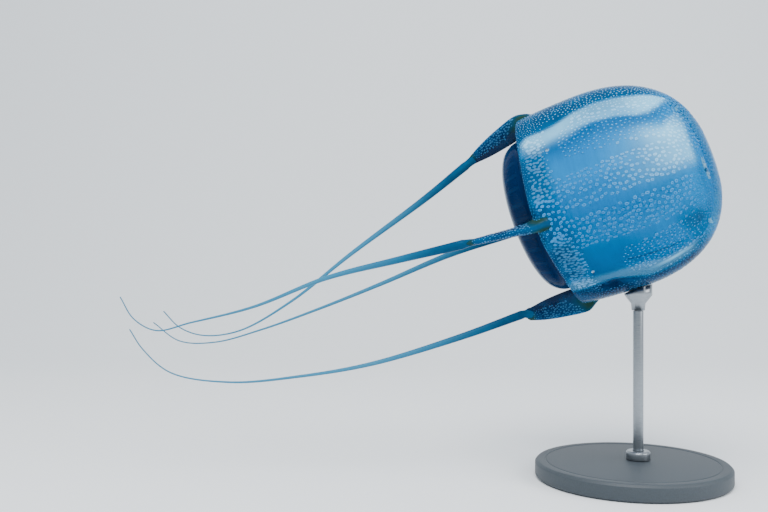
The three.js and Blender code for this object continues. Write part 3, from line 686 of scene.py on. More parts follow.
def outer_marks(angle, level):
    """pale, deep and body in the clear jelly of the bell's outside, with painted glare and painted shade
    among them.
    """
    away, side = from_corner(angle), turned_in(angle)
    # the long sheet down the high side, milky jelly with painted glare of light from above on it, from its
    # top edge to its foot
    top = np.interp(
        level, [-8, -2, 7, 18, 27, 38, 60, 76], [-58, -62, -62.5, -65, -68, -69.3, -70, -74]
    )
    foot = np.interp(
        level, [-8, 2, 19, 35, 48, 59, 65, 71, 77], [-52, -48, -50, -53.5, -52.5, -50, -52, -60, -74]
    )
    soft = np.interp(level, [20, 34, 58, 66], [7, 2, 2, 5])
    sheet = smoothstep(side, top - 1, top + 1.5) * (1 - smoothstep(side, foot - soft, foot + soft))
    sheet *= between(level, -6, 76, 3) * np.interp(level, [-6, 22, 36, 52, 66], [0.9, 0.95, 0.7, 0.72, 1])
    # the softer haze and wisp under the apex; the haze is painted glare of light from above
    glare_haze = between(side, np.interp(level, [70, 77], [-39, -56]), -4, 7) * smoothstep(level, 36, 74)
    glare_haze = glare_haze * (1 - smoothstep(level, 78.5, 82))
    glare_haze *= 1 - 0.45 * smoothstep(-side, 36, 52)
    wisp = between(side, -46, -26, 8) * between(level, 54, 76, 8)
    # the fainter sheet and the bright streak on the low side, painted glare as well
    low_edge = np.interp(level, [2, 17, 26, 35], [60, 59, 64, 68.5])
    low_top = np.interp(level, [0, 35, 50], [50, 51, 57])
    low_glare_sheet = smoothstep(side, low_top - 3, low_top + 3) * (1 - smoothstep(side, low_edge - 1.5, low_edge))
    low_glare_sheet *= between(level, -8, 64, 5)
    streak = bump(side, 62, 3.2) * between(level, 42, 62, 10)
    # dark jelly: patches at the margin, the crown and one shoulder; painted shade on both limbs, where the
    # dark water showed through the thick wall seen edge-on; and a painted shadow line down the low side
    patch = smoothstep(away, 8, 18) * (1 - smoothstep(level, 2, 10)) * (1 - smoothstep(np.abs(side), 42, 54))
    shoulder = 1 - smoothstep(level, 66, 80)
    high_limb_shade = (1 - smoothstep(side, top - 2, top + 0.5)) * shoulder
    low_soft = np.interp(level, [30, 60, 76], [0.8, 5, 14])
    low_limb_shade = smoothstep(side, low_edge - low_soft, low_edge + 1 + low_soft) * shoulder
    shadow_line = bump(side, np.interp(level, [29, 60], [43, 49.5]), 1.8) * between(level, 26, 62, 6)
    crown = smoothstep(level, 74, 81)
    dark = between(side, 30, 48, 5) * between(level, 62, 75, 3)
    pale = 0.95 * sheet + 0.74 * glare_haze + 0.2 * wisp + 0.6 * streak + 0.35 * low_glare_sheet
    deep = [0.6 * patch, 0.6 * high_limb_shade, 0.75 * low_limb_shade, 0.8 * shadow_line, 0.3 * crown, 0.6 * dark]
    held = np.maximum.reduce([patch, high_limb_shade, low_limb_shade, 0.8 * shadow_line, 0.12 * crown, 0.6 * dark])
    body = 0.1 + 0.78 * np.maximum(held, 0.9 * np.clip(pale, 0, 1))
    return pale, np.maximum.reduce(deep), body


def velarium_marks(angle, radius):
    """pale and deep on the velarium, whose branching canals run towards its lip. Its deep navy is painted
    shade, the dark water seen through the clear membrane.
    """
    away = from_corner(angle)
    spread = np.interp(radius, [20, 46], [1.3, 1.0])
    canals = np.maximum.reduce([bump(away, line * spread, 1.9) for line in (7, 17, 29, 39)])
    canals = canals * between(radius, 24, 47, 3)
    lip = 1 - smoothstep(radius, 19.5, 22)
    return 0.02 * canals + 0.25 * lip, 1 - 0.06 * canals


def off_keel(turn):
    """Degrees round a pedalium from its keel, either way."""
    return np.abs((np.degrees(turn) + 180) % 360 - 180)


def blade_marks(share, turn):
    """pale, deep, olive and body on a pedalium: olive at both ends, a lighter edge on the keel."""
    off = off_keel(turn)
    keel = 1 - smoothstep(off, 70, 115)
    base = bump(share, 0.1, 0.32) * (0.2 + 0.8 * between(off, 20, 100, 15))
    base = base * (1 - smoothstep(off, 95, 130))
    tip = smoothstep(share, 0.86, 0.95) * (1 - smoothstep(off, 70, 130))
    edge = 1 - smoothstep(off, 15, 55)
    # deep over the blade is painted shade, the dark water seen through its clear flange; keel and edge are
    # lighter
    deep = 0.8 - 0.08 * keel - 0.14 * edge
    return 0 * edge, deep, np.maximum(0.85 * base, 0.75 * tip), 0.9 + 0.08 * keel


def tentacle_marks(share):
    """pale, deep, olive and body along a tentacle, darkest at its root."""
    root = 1 - smoothstep(share, 0.02, 0.42)
    deep = 0.08 + 0.5 * root + 0.25 * smoothstep(share, 0.7, 1)
    return 0.35 * (1 - root), deep, 0 * share, 1 + 0 * share


def marks(points, regions):
    """The markings at points of given regions, as an array with columns pale, deep, olive, body."""
    points, regions = np.asarray(points), np.asarray(regions)
    angle, level, radius = in_bell(points)
    found = np.zeros((len(points), 4))
    one = np.ones(len(points))
    outer_pale, outer_deep, outer_body = outer_marks(angle, level)
    by_region = {
        "outer": (outer_pale, outer_deep, 0 * one, outer_body),
        "inner": (*inner_marks(angle, level), 0 * one, one),
        "velarium": (*velarium_marks(angle, radius), 0 * one, 0.93 * one),
        "margin": (0 * one, one, 0 * one, 0.96 * one),
    }
    for number, name in enumerate(REGIONS):
        here = np.flatnonzero(regions == number)
        if name in by_region:
            found[here] = np.stack(by_region[name], 1)[here]
        elif name == "pedalium" and len(here):
            labels = BLADE_LABELS[[BLADE_TREE.find(points[k])[1] for k in here]]
            found[here] = np.stack(blade_marks(labels[:, 1], labels[:, 2]), 1)
        elif name == "tentacle" and len(here):
            labels = LINE_LABELS[[LINE_TREE.find(points[k])[1] for k in here]]
            found[here] = np.stack(tentacle_marks(labels[:, 1]), 1)
    return np.clip(found, 0, 1)


def store_marks(mesh, names, values):
    """Keeps each column of values as a point attribute of its own."""
    for column, name in enumerate(names):
        layer = mesh.attributes.new(name, "FLOAT", "POINT")
        layer.data.foreach_set("value", values[:, column].astype(np.float32))


places = np.array([v.co for v in skin.data.vertices])
store_marks(skin.data, ("pale", "deep", "olive", "body"), marks(places, highest))


# ---- The skin's finish ----------------------------------------------------------------------
# Jellyfish flesh is a wet, nearly clear gel under a thin skin. Its colour and how clear it is
# follow the markings, with a soft clouding, and the three kinds of flesh are given here.

# The milky tint also serves for painted glare of light from above, and the deep blue for painted shade.
MILK_AND_GLARE, AZURE, CLEAR_BLUE, DEEP_BLUE, OLIVE = "#84cef4", "#00a8dc", "#0076b4", "#001e42", "#223b20"
STRAND_BLUE, STRAND_MILK, RIM_BLUE, INSIDE_BLUE = "#0a76a4", "#5f8c9a", "#4ab4f0", "#a0e7f6"
CLOUD_SIZE, CLOUD_STRENGTH = 14 * MM, 0.22
RIPPLE_SIZE, RIPPLE_HEIGHT = 5 * MM, 0.12 * MM
FIBRE_SPACING, FIBRE_LENGTH, FIBRE_HEIGHT = 1.1 * MM, 25 * MM, 0.1 * MM  # drawn coarse, to show
BAND_SPACING, BAND_HEIGHT = 1.6 * MM, 0.15 * MM  # a tentacle's stinging bands, drawn coarse
GLOSS = 0.06  # hardly more than in water, where the animal lives


def jelly_colour(tree, clear=AZURE, milk_and_glare=MILK_AND_GLARE):
    """Sockets for the jelly's colour from the markings and for the place on the animal."""
    names = ("pale", "deep", "olive")
    attributes = [add_node(tree, "ShaderNodeAttribute", attribute_name=name) for name in names]
    pale, deep, olive = (attribute.outputs["Fac"] for attribute in attributes)
    place = add_node(tree, "ShaderNodeTexCoord").outputs["Object"]
    noise = [("Vector", place), ("Scale", 1 / CLOUD_SIZE), ("Detail", 5.0), ("Roughness", 0.6)]
    cloud = add_node(tree, "ShaderNodeTexNoise", noise).outputs["Fac"]
    spread = [("From Min", 0.3), ("From Max", 0.7)]
    spread += [("To Min", 1 - CLOUD_STRENGTH), ("To Max", 1 + CLOUD_STRENGTH)]
    drift = add_node(tree, "ShaderNodeMapRange", [("Value", cloud), *spread]).outputs["Result"]
    product = {"operation": "MULTIPLY", "use_clamp": True}
    # pale holds milky jelly and painted glare alike, so this share mixes in both
    milky = add_node(tree, "ShaderNodeMath", [(0, pale), (1, drift)], **product)
    fuller = add_node(tree, "ShaderNodeMath", [(0, drift), (1, CLOUD_STRENGTH)])
    dark = add_node(tree, "ShaderNodeMath", [(0, deep), (1, fuller.outputs[0])], **product)
    colour = add_node(tree, "ShaderNodeMix", [("Factor", dark.outputs[0])], data_type="RGBA")
    colour.inputs["A"].default_value = linear(clear)
    colour.inputs["B"].default_value = linear(DEEP_BLUE)
    for share, tint in ((milky.outputs[0], milk_and_glare), (olive, OLIVE)):
        layers = [("Factor", share), ("A", colour.outputs["Result"])]
        colour = add_node(tree, "ShaderNodeMix", layers, data_type="RGBA")
        colour.inputs["B"].default_value = linear(tint)
    return colour.outputs["Result"], place


def ripples(tree, place, size, height):
    """A socket for normals that ripple softly, from the ripples' size and height in metres."""
    noise = add_node(tree, "ShaderNodeTexNoise", [("Vector", place), ("Scale", 1 / size), ("Detail", 3.0)])
    relief = add_node(tree, "ShaderNodeBump", [("Height", noise.outputs["Fac"]), ("Distance", height)])
    return relief.outputs["Normal"]


# Wet jelly is nearly all water: its surface is smooth and rippled, it shows the bell's inside
# faintly where its markings are thin, grows full at its rim, and tints what is seen through it.
SHEEN, RIM_BLEND, INSIDE_DENSITY = 0.14, 0.15, 150.0
jelly, tree, out = new_material("wet_jelly")
colour, place = jelly_colour(tree, CLEAR_BLUE)
finish = [("Base Color", colour), ("Roughness", 0.16), ("IOR", 1.34)]
shader = add_node(tree, "ShaderNodeBsdfPrincipled", finish)
shader.inputs["Specular IOR Level"].default_value = GLOSS
shader.inputs["Sheen Weight"].default_value = SHEEN
shader.inputs["Sheen Roughness"].default_value = 0.3
shader.inputs["Sheen Tint"].default_value = linear(RIM_BLUE)
tree.links.new(ripples(tree, place, RIPPLE_SIZE, RIPPLE_HEIGHT), shader.inputs["Normal"])
body = add_node(tree, "ShaderNodeAttribute", attribute_name="body").outputs["Fac"]
rim = add_node(tree, "ShaderNodeLayerWeight", [("Blend", RIM_BLEND)])
alpha = add_node(tree, "ShaderNodeMix", [("Factor", rim.outputs["Facing"]), ("A", body), ("B", 1.0)])
tree.links.new(alpha.outputs["Result"], shader.inputs["Alpha"])
tree.links.new(shader.outputs[0], out.inputs["Surface"])
inside_jelly = add_node(tree, "ShaderNodeVolumeAbsorption", [("Density", INSIDE_DENSITY)])
inside_jelly.inputs["Color"].default_value = linear(INSIDE_BLUE)
tree.links.new(inside_jelly.outputs[0], out.inputs["Volume"])

# The bell's inside is lined with a thin sheet of muscle, milky and dull, whose fine fibres run
# round the bell and show as faint lines.
muscle, tree, out = new_material("milky_jelly_muscle")
colour, place = jelly_colour(tree)
upright = add_node(tree, "ShaderNodeMapping", [("Vector", place)], vector_type="POINT")
upright.inputs["Rotation"].default_value = BELL.to_3x3().normalized().inverted().to_euler()
fibre = add_node(tree, "ShaderNodeTexNoise", [("Scale", 1.0), ("Detail", 2.0)])
stretch = add_node(tree, "ShaderNodeVectorMath", [(0, upright.outputs["Vector"])], operation="MULTIPLY")
stretch.inputs[1].default_value = (1 / FIBRE_LENGTH, 1 / FIBRE_LENGTH, 1 / FIBRE_SPACING)
tree.links.new(stretch.outputs["Vector"], fibre.inputs["Vector"])
lines = [("From Min", 0.35), ("From Max", 0.65), ("To Min", 0.94), ("To Max", 1.04)]
weave = add_node(tree, "ShaderNodeMapRange", [("Value", fibre.outputs["Fac"]), *lines])
layers = [("Factor", 1.0), ("A", colour)]
tinted = add_node(tree, "ShaderNodeMix", layers, data_type="RGBA", blend_type="MULTIPLY")
tree.links.new(weave.outputs["Result"], tinted.inputs["B"])
finish = [("Base Color", tinted.outputs["Result"]), ("Roughness", 0.5)]
shader = add_node(tree, "ShaderNodeBsdfPrincipled", finish)
shader.inputs["Specular IOR Level"].default_value = 0.05
raised = [("Height", fibre.outputs["Fac"]), ("Distance", FIBRE_HEIGHT)]
relief = add_node(tree, "ShaderNodeBump", raised)
tree.links.new(relief.outputs["Normal"], shader.inputs["Normal"])
tree.links.new(shader.outputs[0], out.inputs["Surface"])

# A tentacle is firmer, fuller jelly with stinging bands, so it hides what is behind it and its
# surface is uneven and less smooth.
strand, tree, out = new_material("tentacle_jelly")
colour, place = jelly_colour(tree, STRAND_BLUE, STRAND_MILK)
finish = [("Base Color", colour), ("Roughness", 0.3), ("IOR", 1.38)]
shader = add_node(tree, "ShaderNodeBsdfPrincipled", finish)
shader.inputs["Specular IOR Level"].default_value = GLOSS
tree.links.new(ripples(tree, place, BAND_SPACING, BAND_HEIGHT), shader.inputs["Normal"])
tree.links.new(shader.outputs[0], out.inputs["Surface"])

for region in REGIONS:
    skin.data.materials.append({"inner": muscle, "tentacle": strand}.get(region, jelly))

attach(skin, "root")
FLESH = ("bell", "velarium", "pedalium", "tentacle")
flesh = [node for node in frame["nodes"] if node.split("_")[0] in FLESH]
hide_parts(*flesh)


# ---- Warts ----------------------------------------------------------------------------------
# Small raised warts full of stinging cells stud the outside of the bell and the pedalia's keels:
# open rings in bands along the corners, packed cells at the margin, and fine spots elsewhere.
# Each is modelled once, then laid over the skin, larger or smaller and turned its own way.

WART_SEED = 71
WART_HEIGHT, WART_SUNK = 0.32, 0.12
WART_RISE, WART_FOOT = 0.3, 0.1  # a small wart's height: a share of its radius, and a foot
WART_TURN, WART_STRETCH, WART_WOBBLE = 0.45, 0.35, 0.1
WART_SIZES, WART_TONES = (0.75, 1.15), (0.8, 1.15)
TRIES = 24  # places tried for each wart that fits
PACKING = 0.42  # the least gap between two warts, as a share of their spacings' sum
UNDER_SHARE = 0.4  # how much of the muscle's glare shows on the warts over it
UV_PATCH = 0.0015


def ring_wart():
    """A low dome with a dimpled middle, palest on its rim."""
    return lathe_wart([(1.0, 0.0, 0.1), (0.84, 0.8, 0.9), (0.64, 1.0, 1.0), (0.34, 0.5, 0.05)], 10)


def cell_wart():
    """A flat-topped cell, one of a close pavement."""
    return lathe_wart([(1.0, 0.0, 0.0), (0.76, 0.9, 0.8), (0.4, 1.0, 1.0)], 8)


def spot_wart():
    """A fine spot."""
    return lathe_wart([(1.0, 0.0, 0.3), (0.55, 0.9, 1.0)], 6)


def lathe_wart(rows, sides):
    """Points, faces and tones of a closed round wart from its rows of radius, height and tone."""
    turn = np.linspace(0, 2 * math.pi, sides, endpoint=False)
    rings = [np.stack([r * np.cos(turn), r * np.sin(turn), 0 * turn + h], 1) for r, h, _ in rows]
    points = np.vstack(rings)
    tones = np.repeat([tone for _, _, tone in rows], sides)
    faces = []
    for k in range(len(rows) - 1):
        for i in range(sides):
            j = (i + 1) % sides
            faces.append((k * sides + i, k * sides + j, (k + 1) * sides + j, (k + 1) * sides + i))
    faces.append(tuple(range((len(rows) - 1) * sides, len(rows) * sides)))
    faces.append(tuple(range(sides))[::-1])
    return points, faces, tones


WART_SHAPES = [ring_wart(), cell_wart(), spot_wart()]
RING, CELL, SPOT = range(3)


def bell_wart_plan(angle, level, radius):
    """Kind, spacing and tone of the warts at places on the bell; spacing 0 where it is smooth."""
    away, side = from_corner(angle), turned_in(angle)
    kind, spacing, tone = (np.full(len(angle), value) for value in (RING, 2.85, 0.52))

    def zone(where, shape, apart, milkiness):
        kind[where], spacing[where], tone[where] = shape, apart, milkiness

    # fine spots between the corners and on both limbs
    zone(away > 32, SPOT, 2.5, 0.6)
    zone(np.abs(side) > 64, SPOT, 2.05, 0.5)
    zone(side < -64, SPOT, 2.0, 0.62)
    tone[side > 60] = 0.38
    tone[side < -79] = 0.5
    # none in the furrows, along the ridges and in the middle of the sides
    furrow = np.abs(away - 27) < np.interp(level, [10, 40, 60, 78], [6, 4.5, 3, 0])
    furrow &= (side > -45) | (level < 24)
    ridge = (away < 2.4) & (np.abs(side) < 45)
    bare_top = np.where(side < 0, 15, 26) + 12 * (1 - away / 45)
    middle = (away > 30) & (np.abs(side) < 64) & (level < bare_top)
    zone((furrow | ridge | middle) & (level > 8), SPOT, 0, 0)
    # a pavement at the margin
    margin = (level < 5 + 3 * bump(side, 30, 20)) & (away > 9)
    zone(margin, CELL, 2.2, 0.34)
    zone((level < -4.5) | (margin & (np.abs(side) > 58)), SPOT, 1.55, 0.45)
    # spots and a few rings under the apex, which is bare itself
    high_up = (radius < 42) & (level > 60)
    zone(high_up, SPOT, 1.95, 0.42)
    zone(high_up & (side < -15) & (radius > 27), RING, 2.5, 0.5)
    zone(high_up & (radius < 14), SPOT, 0, 0)
    return kind, spacing, tone


def blade_wart_plan(share, turn):
    """Kind, spacing and tone of the warts on a pedalium: rings on both sides of a fine keel."""
    off = off_keel(turn)
    kind, spacing = np.full(len(share), RING), np.full(len(share), 1.6)
    tone = 0.46 + 0.24 * (1 - smoothstep(off, 20, 60))
    small = (share > 0.75) | (off < 20)
    kind[small] = SPOT
    spacing[small] = 1.45
    start = 0.27 + 0.12 * smoothstep(off, 60, 110)
    spacing[(share < start) | (share > 0.93) | (off > 105) | (off < 8)] = 0
    return kind, spacing, tone


def wart_places():
    """Places over the outside of the skin where a wart fits, each clear of the others."""
    dice = np.random.default_rng(WART_SEED)
    mesh = skin.data
    mesh.calc_loop_triangles()
    corners = np.array([t.vertices for t in mesh.loop_triangles])
    region = np.array([mesh.polygons[t.polygon_index].material_index for t in mesh.loop_triangles])
    wanted = np.isin(region, [REGIONS.index(n) for n in ("outer", "pedalium")])
    corners, region = corners[wanted], region[wanted]
    points = np.array([v.co for v in mesh.vertices])
    normals = np.array([v.normal for v in mesh.vertices])
    middle = points[corners].mean(1)
    plan = wart_plan(middle, region)
    a, b, c = (points[corners[:, k]] for k in range(3))
    area = np.linalg.norm(np.cross(b - a, c - a), axis=1) / 2 / MM**2
    weight = np.where(plan["spacing"] > 0, area / np.maximum(plan["spacing"], 0.5) ** 2, 0)
    pick = dice.choice(len(corners), int(weight.sum() * TRIES), p=weight / weight.sum())
    share = np.sort(dice.random((len(pick), 2)), axis=1)
    bary = np.stack([share[:, 0], share[:, 1] - share[:, 0], 1 - share[:, 1]], 1)[:, :, None]
    place = (points[corners[pick]] * bary).sum(1)
    normal = (normals[corners[pick]] * bary).sum(1)
    normal /= np.linalg.norm(normal, axis=1)[:, None]
    plan = wart_plan(place, region[pick])
    kept = thinned(place, plan["spacing"] * MM)
    return place[kept], normal[kept], {name: column[kept] for name, column in plan.items()}


def wart_plan(points, region):
    """The plan at points of the skin: kind, spacing, tone, the piece it goes to and its unwrap."""
    angle, level, radius = in_bell(points)
    kind, spacing, tone = bell_wart_plan(angle, level, radius)
    quarter = ((np.degrees(angle) + 45) % 360 // 90).astype(int)
    piece = np.where((radius < 40) & (level > 60), len(PEDALIA), quarter)
    up = 0.22 + 0.76 * (level + 10) / 100 + 0.2 * (1 - radius / 60) * (level > 60)
    unwrap = np.stack([angle / (2 * math.pi), up], 1)
    on_blade = np.flatnonzero(region == REGIONS.index("pedalium"))
    labels = BLADE_LABELS[[BLADE_TREE.find(points[k])[1] for k in on_blade]]
    kind[on_blade], spacing[on_blade], tone[on_blade] = blade_wart_plan(labels[:, 1], labels[:, 2])
    piece[on_blade] = len(PEDALIA) + 1 + labels[:, 0].astype(int)
    turn = (labels[:, 2] / (2 * math.pi) + 0.5) % 1
    unwrap[on_blade] = np.stack([(labels[:, 0] + 0.04 + 0.92 * turn) / 4, 0.01 + 0.17 * labels[:, 1]], 1)
    return {"kind": kind, "spacing": spacing, "tone": tone, "piece": piece, "unwrap": unwrap}


def thinned(places, spacing):
    """Indices of places that keep their spacing from all that are kept before them."""
    cell = spacing.max()
    kept, grid = [], {}
    keys = np.floor(places / cell).astype(int)
    around = [(i, j, k) for i in (-1, 0, 1) for j in (-1, 0, 1) for k in (-1, 0, 1)]
    flat, apart = places.tolist(), spacing.tolist()

    def crowded(n, x, y, z):
        px, py, pz = flat[n]
        for i, j, k in around:
            for qx, qy, qz, other in grid.get((x + i, y + j, z + k), ()):
                room = (apart[n] + other) * PACKING
                if (px - qx) ** 2 + (py - qy) ** 2 + (pz - qz) ** 2 < room * room:
                    return True
        return False

    for n, (x, y, z) in enumerate(keys.tolist()):
        if apart[n] > 0 and not crowded(n, x, y, z):
            kept.append(n)
            grid.setdefault((x, y, z), []).append((*flat[n], apart[n]))
    return np.array(kept)


WART_SHARE = {RING: 0.36, CELL: 0.58, SPOT: 0.27}  # a wart's radius as a share of the spacing


def lay_warts(name, chosen, places, normals, plan):
    """One piece with a wart at each chosen place."""
    dice = np.random.default_rng(WART_SEED + len(chosen))
    up_bell = np.array(BELL.col[2][:3]) / MM
    points, faces, tones, roots, patch = [], [], [], [], []
    count = 0
    for n in chosen:
        kind, normal = plan["kind"][n], normals[n]
        shape, shape_faces, shape_tones = WART_SHAPES[kind]
        lie = up_bell - normal * up_bell.dot(normal)
        lie /= np.linalg.norm(lie)
        across = np.cross(normal, lie)
        turn = dice.normal(0, WART_TURN)
        c, s = math.cos(turn), math.sin(turn)
        lie, across = lie * c + across * s, across * c - lie * s
        radius = plan["spacing"][n] * WART_SHARE[kind] * dice.uniform(*WART_SIZES)
        long = 1 + dice.uniform(0.0, WART_STRETCH)
        wobble = 1 + dice.uniform(-WART_WOBBLE, WART_WOBBLE, len(shape))
        x, y, z = shape.T
        height = min(WART_HEIGHT, WART_RISE * radius + WART_FOOT)
        local = np.outer(x * radius * long * wobble, lie) + np.outer(y * radius / long * wobble, across)
        local += np.outer(z * height - WART_SUNK, normal)
        points.append(places[n] + local * MM)
        faces.extend(tuple(v + count for v in face) for face in shape_faces)
        tones.append(shape_tones * plan["tone"][n] * dice.uniform(*WART_TONES))
        roots.append(np.full(len(shape), n))
        patch.append(plan["unwrap"][n] + shape[:, :2] * UV_PATCH)
        count += len(shape)
    piece = mesh_object(name, np.vstack(points), faces)
    roots, patch = np.concatenate(roots), np.vstack(patch)
    on_bell = plan["piece"][roots] <= len(PEDALIA)
    region = np.where(on_bell, REGIONS.index("outer"), REGIONS.index("pedalium"))
    skin_marks = marks(places[roots], region)
    angle, level, _ = in_bell(places[roots])
    # warts over the muscle take on part of its painted glare of light from above
    under, _ = inner_marks(angle, level)
    skin_marks[:, 0] = np.maximum(skin_marks[:, 0], np.where(on_bell, UNDER_SHARE * under, 0))
    skin_marks[:, 3] = np.clip(np.concatenate(tones), 0, 1)
    store_marks(piece.data, ("pale", "deep", "olive", "spot"), skin_marks)
    layer = piece.data.uv_layers.new(name="OFBake")
    loop_verts = np.array([loop.vertex_index for loop in piece.data.loops])
    layer.data.foreach_set("uv", patch[loop_verts].ravel().astype(np.float32))
    face_outwards(piece)
    take(piece)
    bpy.ops.object.shade_smooth()
    piece.data.materials.append(wart_skin)
    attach(piece, "root")
    return piece


# A wart's skin is packed with stinging cells, so it is opaque, a little glossy, jelly blue at the
# foot and milky blue where it rises.
WART_BLUE, WART_MILK_AND_GLARE, WART_JELLY = "#5aa6dc", "#c0e8fb", "#006cac"
wart_skin, tree, out = new_material("milky_wart_skin")
colour, place = jelly_colour(tree, WART_JELLY)
spot = add_node(tree, "ShaderNodeAttribute", attribute_name="spot").outputs["Fac"]
pale = add_node(tree, "ShaderNodeAttribute", attribute_name="pale").outputs["Fac"]
# the crest turns milky where the pale marks lie, painted glare among them
crest = add_node(tree, "ShaderNodeMix", [("Factor", pale)], data_type="RGBA")
crest.inputs["A"].default_value = linear(WART_BLUE)
crest.inputs["B"].default_value = linear(WART_MILK_AND_GLARE)
layers = [("Factor", spot), ("A", colour), ("B", crest.outputs["Result"])]
mix = add_node(tree, "ShaderNodeMix", layers, data_type="RGBA")
finish = [("Base Color", mix.outputs["Result"]), ("Roughness", 0.3)]
shader = add_node(tree, "ShaderNodeBsdfPrincipled", finish)
shader.inputs["Specular IOR Level"].default_value = GLOSS
tree.links.new(shader.outputs[0], out.inputs["Surface"])

wart_at, wart_normal, wart_plans = wart_places()
WART_PIECES = [f"warts_{name}_quarter" for name in PEDALIA] + ["warts_apex"]
WART_PIECES += [f"warts_pedalium_{name}" for name in PEDALIA]
for number, name in enumerate(WART_PIECES):
    chosen = np.flatnonzero(wart_plans["piece"] == number)
    warts = lay_warts(name, chosen, wart_at, wart_normal, wart_plans)


# ---- Rhopalia -------------------------------------------------------------------------------
# The four sense organs hang in small niches halfway along the bell's sides: a pale club with a
# heavy tip and two dark lensed eyes, under a rim of clear jelly. One is modelled and copied.

# Sizes and places are in millimetres from the middle of the niche, z out of it.
CLUB_RADIUS, CLUB_LENGTH, CLUB_PLACE = 0.7, 1.0, (0, 0, -0.1)
EYE_RADIUS, EYE_PLACE = 0.4, (0, 0.28, 0.8)
SMALL_EYE_RADIUS, SMALL_EYE_PLACE = 0.26, (0, -0.36, 0.76)
NICHE_RADIUS, NICHE_RIM = 1.0, 0.15
CLUB_GRAIN, PIGMENT_GRAIN = 0.4 * MM, MM / 3

# The club is soft pale flesh, denser than the jelly: opaque, moist and finely clouded.
club_flesh, *_ = two_tone("pale_club_flesh", "#8dbcd6", "#d6ebf6", CLUB_GRAIN, 0.25)
# An eye is a cup of dark brown pigment behind a smooth wet lens: nearly black, with a sharp gleam.
eye_pigment, *_ = two_tone("dark_eye_pigment", "#1c0f08", "#4a2a16", PIGMENT_GRAIN, 0.08)


def ball(radius, place, stretch=(1, 1, 1), segments=18):
    """A small egg of flesh at a place, both in millimetres."""
    bpy.ops.object.select_all(action="DESELECT")
    bpy.ops.mesh.primitive_uv_sphere_add(segments=segments, ring_count=segments // 2, radius=radius * MM)
    egg = bpy.context.object
    bpy.ops.object.mode_set(mode="EDIT")
    bpy.ops.mesh.select_all(action="SELECT")
    bpy.ops.transform.resize(value=stretch)
    bpy.ops.transform.translate(value=[c * MM for c in place])
    bpy.ops.object.mode_set(mode="OBJECT")
    bpy.ops.object.shade_smooth()
    return egg


club = ball(CLUB_RADIUS, CLUB_PLACE, (1, 1, CLUB_LENGTH / CLUB_RADIUS))
club.data.materials.append(club_flesh)
eyes = [ball(EYE_RADIUS, EYE_PLACE, segments=12), ball(SMALL_EYE_RADIUS, SMALL_EYE_PLACE, segments=10)]
for eye in eyes:
    eye.data.materials.append(eye_pigment)
bpy.ops.object.select_all(action="DESELECT")
bpy.ops.mesh.primitive_torus_add(
    major_radius=NICHE_RADIUS * MM, minor_radius=NICHE_RIM * MM, major_segments=28, minor_segments=8
)
niche = bpy.context.object
bpy.ops.object.shade_smooth()
niche.data.materials.append(club_flesh)
take(club, niche, *eyes)
bpy.ops.object.join()

middle = Vector(BELL.translation)
apex = Vector(BELL.col[2][:3]).normalized()
for node in RHOPALIUM_NODES:
    centre = node_centre(node)
    outward = centre - middle
    outward = (outward - apex * outward.dot(apex)).normalized()
    side = apex.cross(outward)
    stance = Matrix((side, apex, outward)).transposed().to_4x4()
    stance.translation = centre
    organ = bpy.data.objects.new(f"{node}_club", club.data.copy())
    organ.data.transform(stance)
    bpy.context.scene.collection.objects.link(organ)
    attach(organ, "root")
    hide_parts(node)
bpy.data.objects.remove(club)


# ---- Phacellae ------------------------------------------------------------------------------
# Milky crescents of stinging filaments in the pouches of the stomach. Each has a bowed pad in a
# corner of the roof, and a crescent fringed with filaments that shows in the apex's clear jelly.

# radius, level and span across of the pads, then bow, width, height and tilt
PAD, PAD_SHAPE = (33, 73, 10), (3, 2.8, 1.6, 1.2)
# radius, level, span across and degrees beyond the corner of each crescent
CRESCENTS = {
    "near": (26.6, 82.6, 13, 8),
    "low": (36.2, 75.4, 7, -21),
    "far": (31, 80.6, 12, 4),
    "high": (32.8, 78.6, 7, 12),
}
CRESCENT_BOW, CRESCENT_WIDTH, CRESCENT_HEIGHT = 1.2, 1.6, 1.8
CRESCENT_SHARES, CRESCENT_SIDES = np.linspace(-1, 1, 17), 12
FILAMENTS, FILAMENT_LENGTH, FILAMENT_RADIUS = 22, 1.4, 0.26
FILAMENT_TAPER, FILAMENT_SIDES = np.array((1, 1, 0.9, 0.7, 0.35)), 6
MEAL_RADIUS, MEAL_OFFSET = 1.1, (0.7, 0.5, 0.2)
FILAMENT_GRAIN = MM / 0.9

# Stomach filaments are soft white flesh full of stinging cells: opaque, moist and creamy.
filament_flesh, *_ = two_tone("milky_filament_flesh", "#dfeeea", "#fdfef8", FILAMENT_GRAIN, 0.4, detail=3.0)


def tube(line, radii, sides):
    """Rings round a line of points, for a loft."""
    line = np.asarray(line, float)
    along = np.gradient(line, axis=0)
    along /= np.linalg.norm(along, axis=1)[:, None]
    helper = np.array((0.3, 0.9, 0.2))
    turn = np.linspace(0, 2 * math.pi, sides, endpoint=False)[:, None]
    rings = []
    for place, way, thick in zip(line, along, radii):
        side = np.cross(way, helper)
        side /= np.linalg.norm(side)
        rings.append(place + (np.cos(turn) * side + np.sin(turn) * np.cross(way, side)) * thick)
    return rings


def crescent(name, corner, radius, level, span, bow, width, height, tilt):
    """A bowed pad tapered to both ends, lying across the radius at a corner of the bell."""
    turn = np.linspace(0, 2 * math.pi, CRESCENT_SIDES, endpoint=False)
    rings = []
    for share in CRESCENT_SHARES:
        size = math.sqrt(max(1.02 - share * share, 0.02))
        reach = radius - share * share * bow + np.cos(turn) * size * width / 2
        rise = level - np.cos(turn) * tilt * size + np.sin(turn) * size * height / 2
        ring = np.stack([reach, np.full(CRESCENT_SIDES, share * span / 2), rise], 1)
        rings.append(to_row_frame(turned(ring, corner)))
    return loft(name, rings, "inner")


